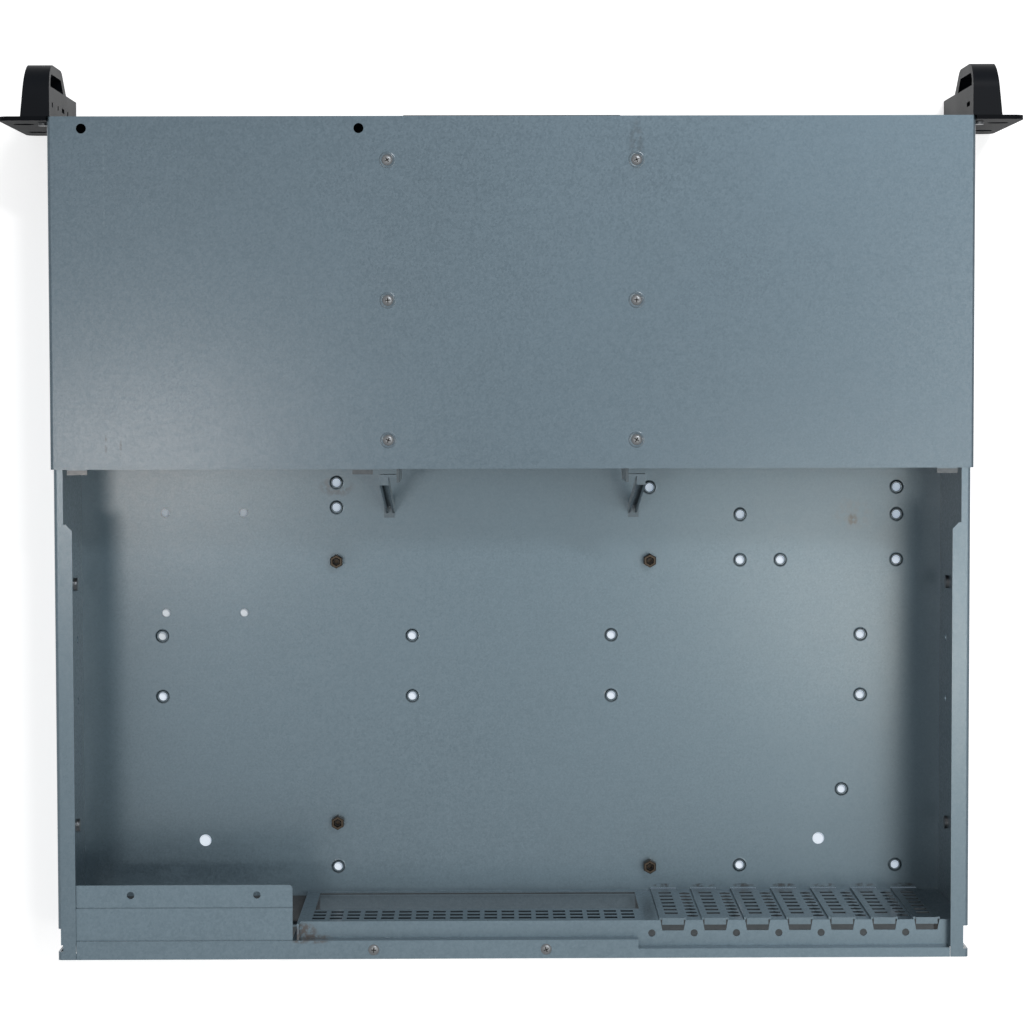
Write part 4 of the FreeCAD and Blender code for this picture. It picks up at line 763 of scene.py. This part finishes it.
class CASE_OT_stage(bpy.types.Operator):
    """Pale floor, soft lamps, white surroundings and the camera"""

    bl_idname = "case.stage"
    bl_label = "Stage"

    def execute(self, context):
        settings = context.scene.case_stage
        self.floor()
        self.world(context.scene)
        for name, place, size, colour in LAMPS:
            self.lamp(name + "_lamp", place, size, getattr(settings, name + "_power"), colour)
        camera = bpy.data.cameras.new("camera")
        camera.lens = settings.lens
        camera.sensor_width = 36.0
        camera.clip_end = 20.0
        eye = bpy.data.objects.new("camera", camera)
        eye.location = settings.camera_place
        eye.rotation_euler = settings.camera_turn
        context.scene.collection.objects.link(eye)
        context.scene.camera = eye
        context.scene.view_settings.view_transform = "Standard"
        return {"FINISHED"}

    def floor(self):
        """The table that the case lies on."""
        bm = bmesh.new()
        bmesh.ops.create_grid(
            bm, x_segments=1, y_segments=1, size=TABLE_HALF,
            matrix=Matrix.Translation((0.0, 0.0, -TABLE_DROP)))
        mesh = bpy.data.meshes.new("table")
        bm.to_mesh(mesh)
        bm.free()
        mesh.materials.append(self.table_white())
        table = bpy.data.objects.new("table", mesh)
        bpy.context.scene.collection.objects.link(table)

    def table_white(self):
        """White table, with the case's shade painted on where it shows through the holes of the floor.
        """
        finish = Finish("table_white")
        base = finish.mix(finish.noise(3.0, 2.0), grey(0.86), grey(0.90))
        under = patch(finish, *CASE_FOOTPRINT, power=32.0, edge=FOOTPRINT_EDGE)
        painted_shade_by_tie_holes = patch(finish, *TIE_HOLES, power=8.0, edge=FOOTPRINT_EDGE)
        _, along, _ = finish.parts()
        # painted shade of the case: the glow is dimmer under it, dimmer still below the tie holes, and
        # glow and colour are near black behind the rear wall
        behind = under * along.step(*TABLE_DARK)
        glow = finish.mix(under, grey(1.0), (0.36, 0.45, 0.56, 1.0))
        glow = finish.mix(under * painted_shade_by_tie_holes, glow, (0.14, 0.19, 0.24, 1.0))
        glow = finish.mix(behind, glow, grey(0.02))
        base = finish.mix(behind, base, grey(0.04))
        plain = finish.node("ShaderNodeBsdfPrincipled", None, {
            "Base Color": base, "Roughness": 0.8})
        bright = finish.node("ShaderNodeBsdfPrincipled", None, {
            "Base Color": base, "Roughness": 0.8,
            "Emission Color": glow, "Emission Strength": TABLE_GLOW})
        finish.close(finish.node(
            "ShaderNodeMixShader", None, {0: finish.seen(), 1: plain, 2: bright}))
        return finish.block

    def world(self, scene):
        """Even pale surroundings that light softly and look white."""
        graph = Graph(bpy.data.worlds.new("surroundings"), "ShaderNodeOutputWorld")
        around = graph.node("ShaderNodeBackground", None, {
            "Color": SURROUNDINGS, "Strength": SURROUNDINGS_STRENGTH})
        white = graph.node("ShaderNodeBackground", None, {"Color": grey(1.0)})
        graph.close(graph.node(
            "ShaderNodeMixShader", None, {0: graph.seen(), 1: around, 2: white}))
        scene.world = graph.block

    def lamp(self, name, place, size, power, colour):
        """One soft rectangular lamp aimed at the case."""
        data = bpy.data.lights.new(name, "AREA")
        data.shape = "RECTANGLE"
        data.size, data.size_y = size
        data.energy = power
        data.color = colour
        lamp = bpy.data.objects.new(name, data)
        lamp.location = place
        aim = Vector(LAMP_AIM) - Vector(place)
        lamp.rotation_euler = aim.to_track_quat("-Z", "Y").to_euler()
        bpy.context.scene.collection.objects.link(lamp)


class CASE_PT_finishes(bpy.types.Panel):
    """Buttons for each group of pieces"""

    bl_label = "Rack Case"
    bl_idname = "CASE_PT_finishes"
    bl_space_type = "VIEW_3D"
    bl_region_type = "UI"
    bl_category = "Rack Case"

    def draw(self, context):
        layout = self.layout
        for operator in OPERATORS:
            layout.operator(operator.bl_idname)
        for group in ("case_finish", "case_detail", "case_stage"):
            box = layout.box()
            settings = getattr(context.scene, group)
            for name in settings.bl_rna.properties.keys():
                if name not in ("rna_type", "name"):
                    box.prop(settings, name)


OPERATORS = (
    CASE_OT_stage,
    CASE_OT_sheet_metal,
    CASE_OT_black_parts,
    CASE_OT_floor_collars,
    CASE_OT_screws,
    CASE_OT_standoffs,
)
CLASSES = (CaseFinishSettings, CaseDetailSettings, CaseStageSettings, *OPERATORS, CASE_PT_finishes)


def register():
    for item in CLASSES:
        bpy.utils.register_class(item)
    bpy.types.Scene.case_finish = bpy.props.PointerProperty(type=CaseFinishSettings)
    bpy.types.Scene.case_detail = bpy.props.PointerProperty(type=CaseDetailSettings)
    bpy.types.Scene.case_stage = bpy.props.PointerProperty(type=CaseStageSettings)


def unregister():
    del bpy.types.Scene.case_finish
    del bpy.types.Scene.case_detail
    del bpy.types.Scene.case_stage
    for item in reversed(CLASSES):
        bpy.utils.unregister_class(item)


def main():
    """Make every piece."""
    register()
    for operator in OPERATORS:
        group, name = operator.bl_idname.split(".")
        getattr(getattr(bpy.ops, group), name)()


if __name__ == "__main__":
    main()
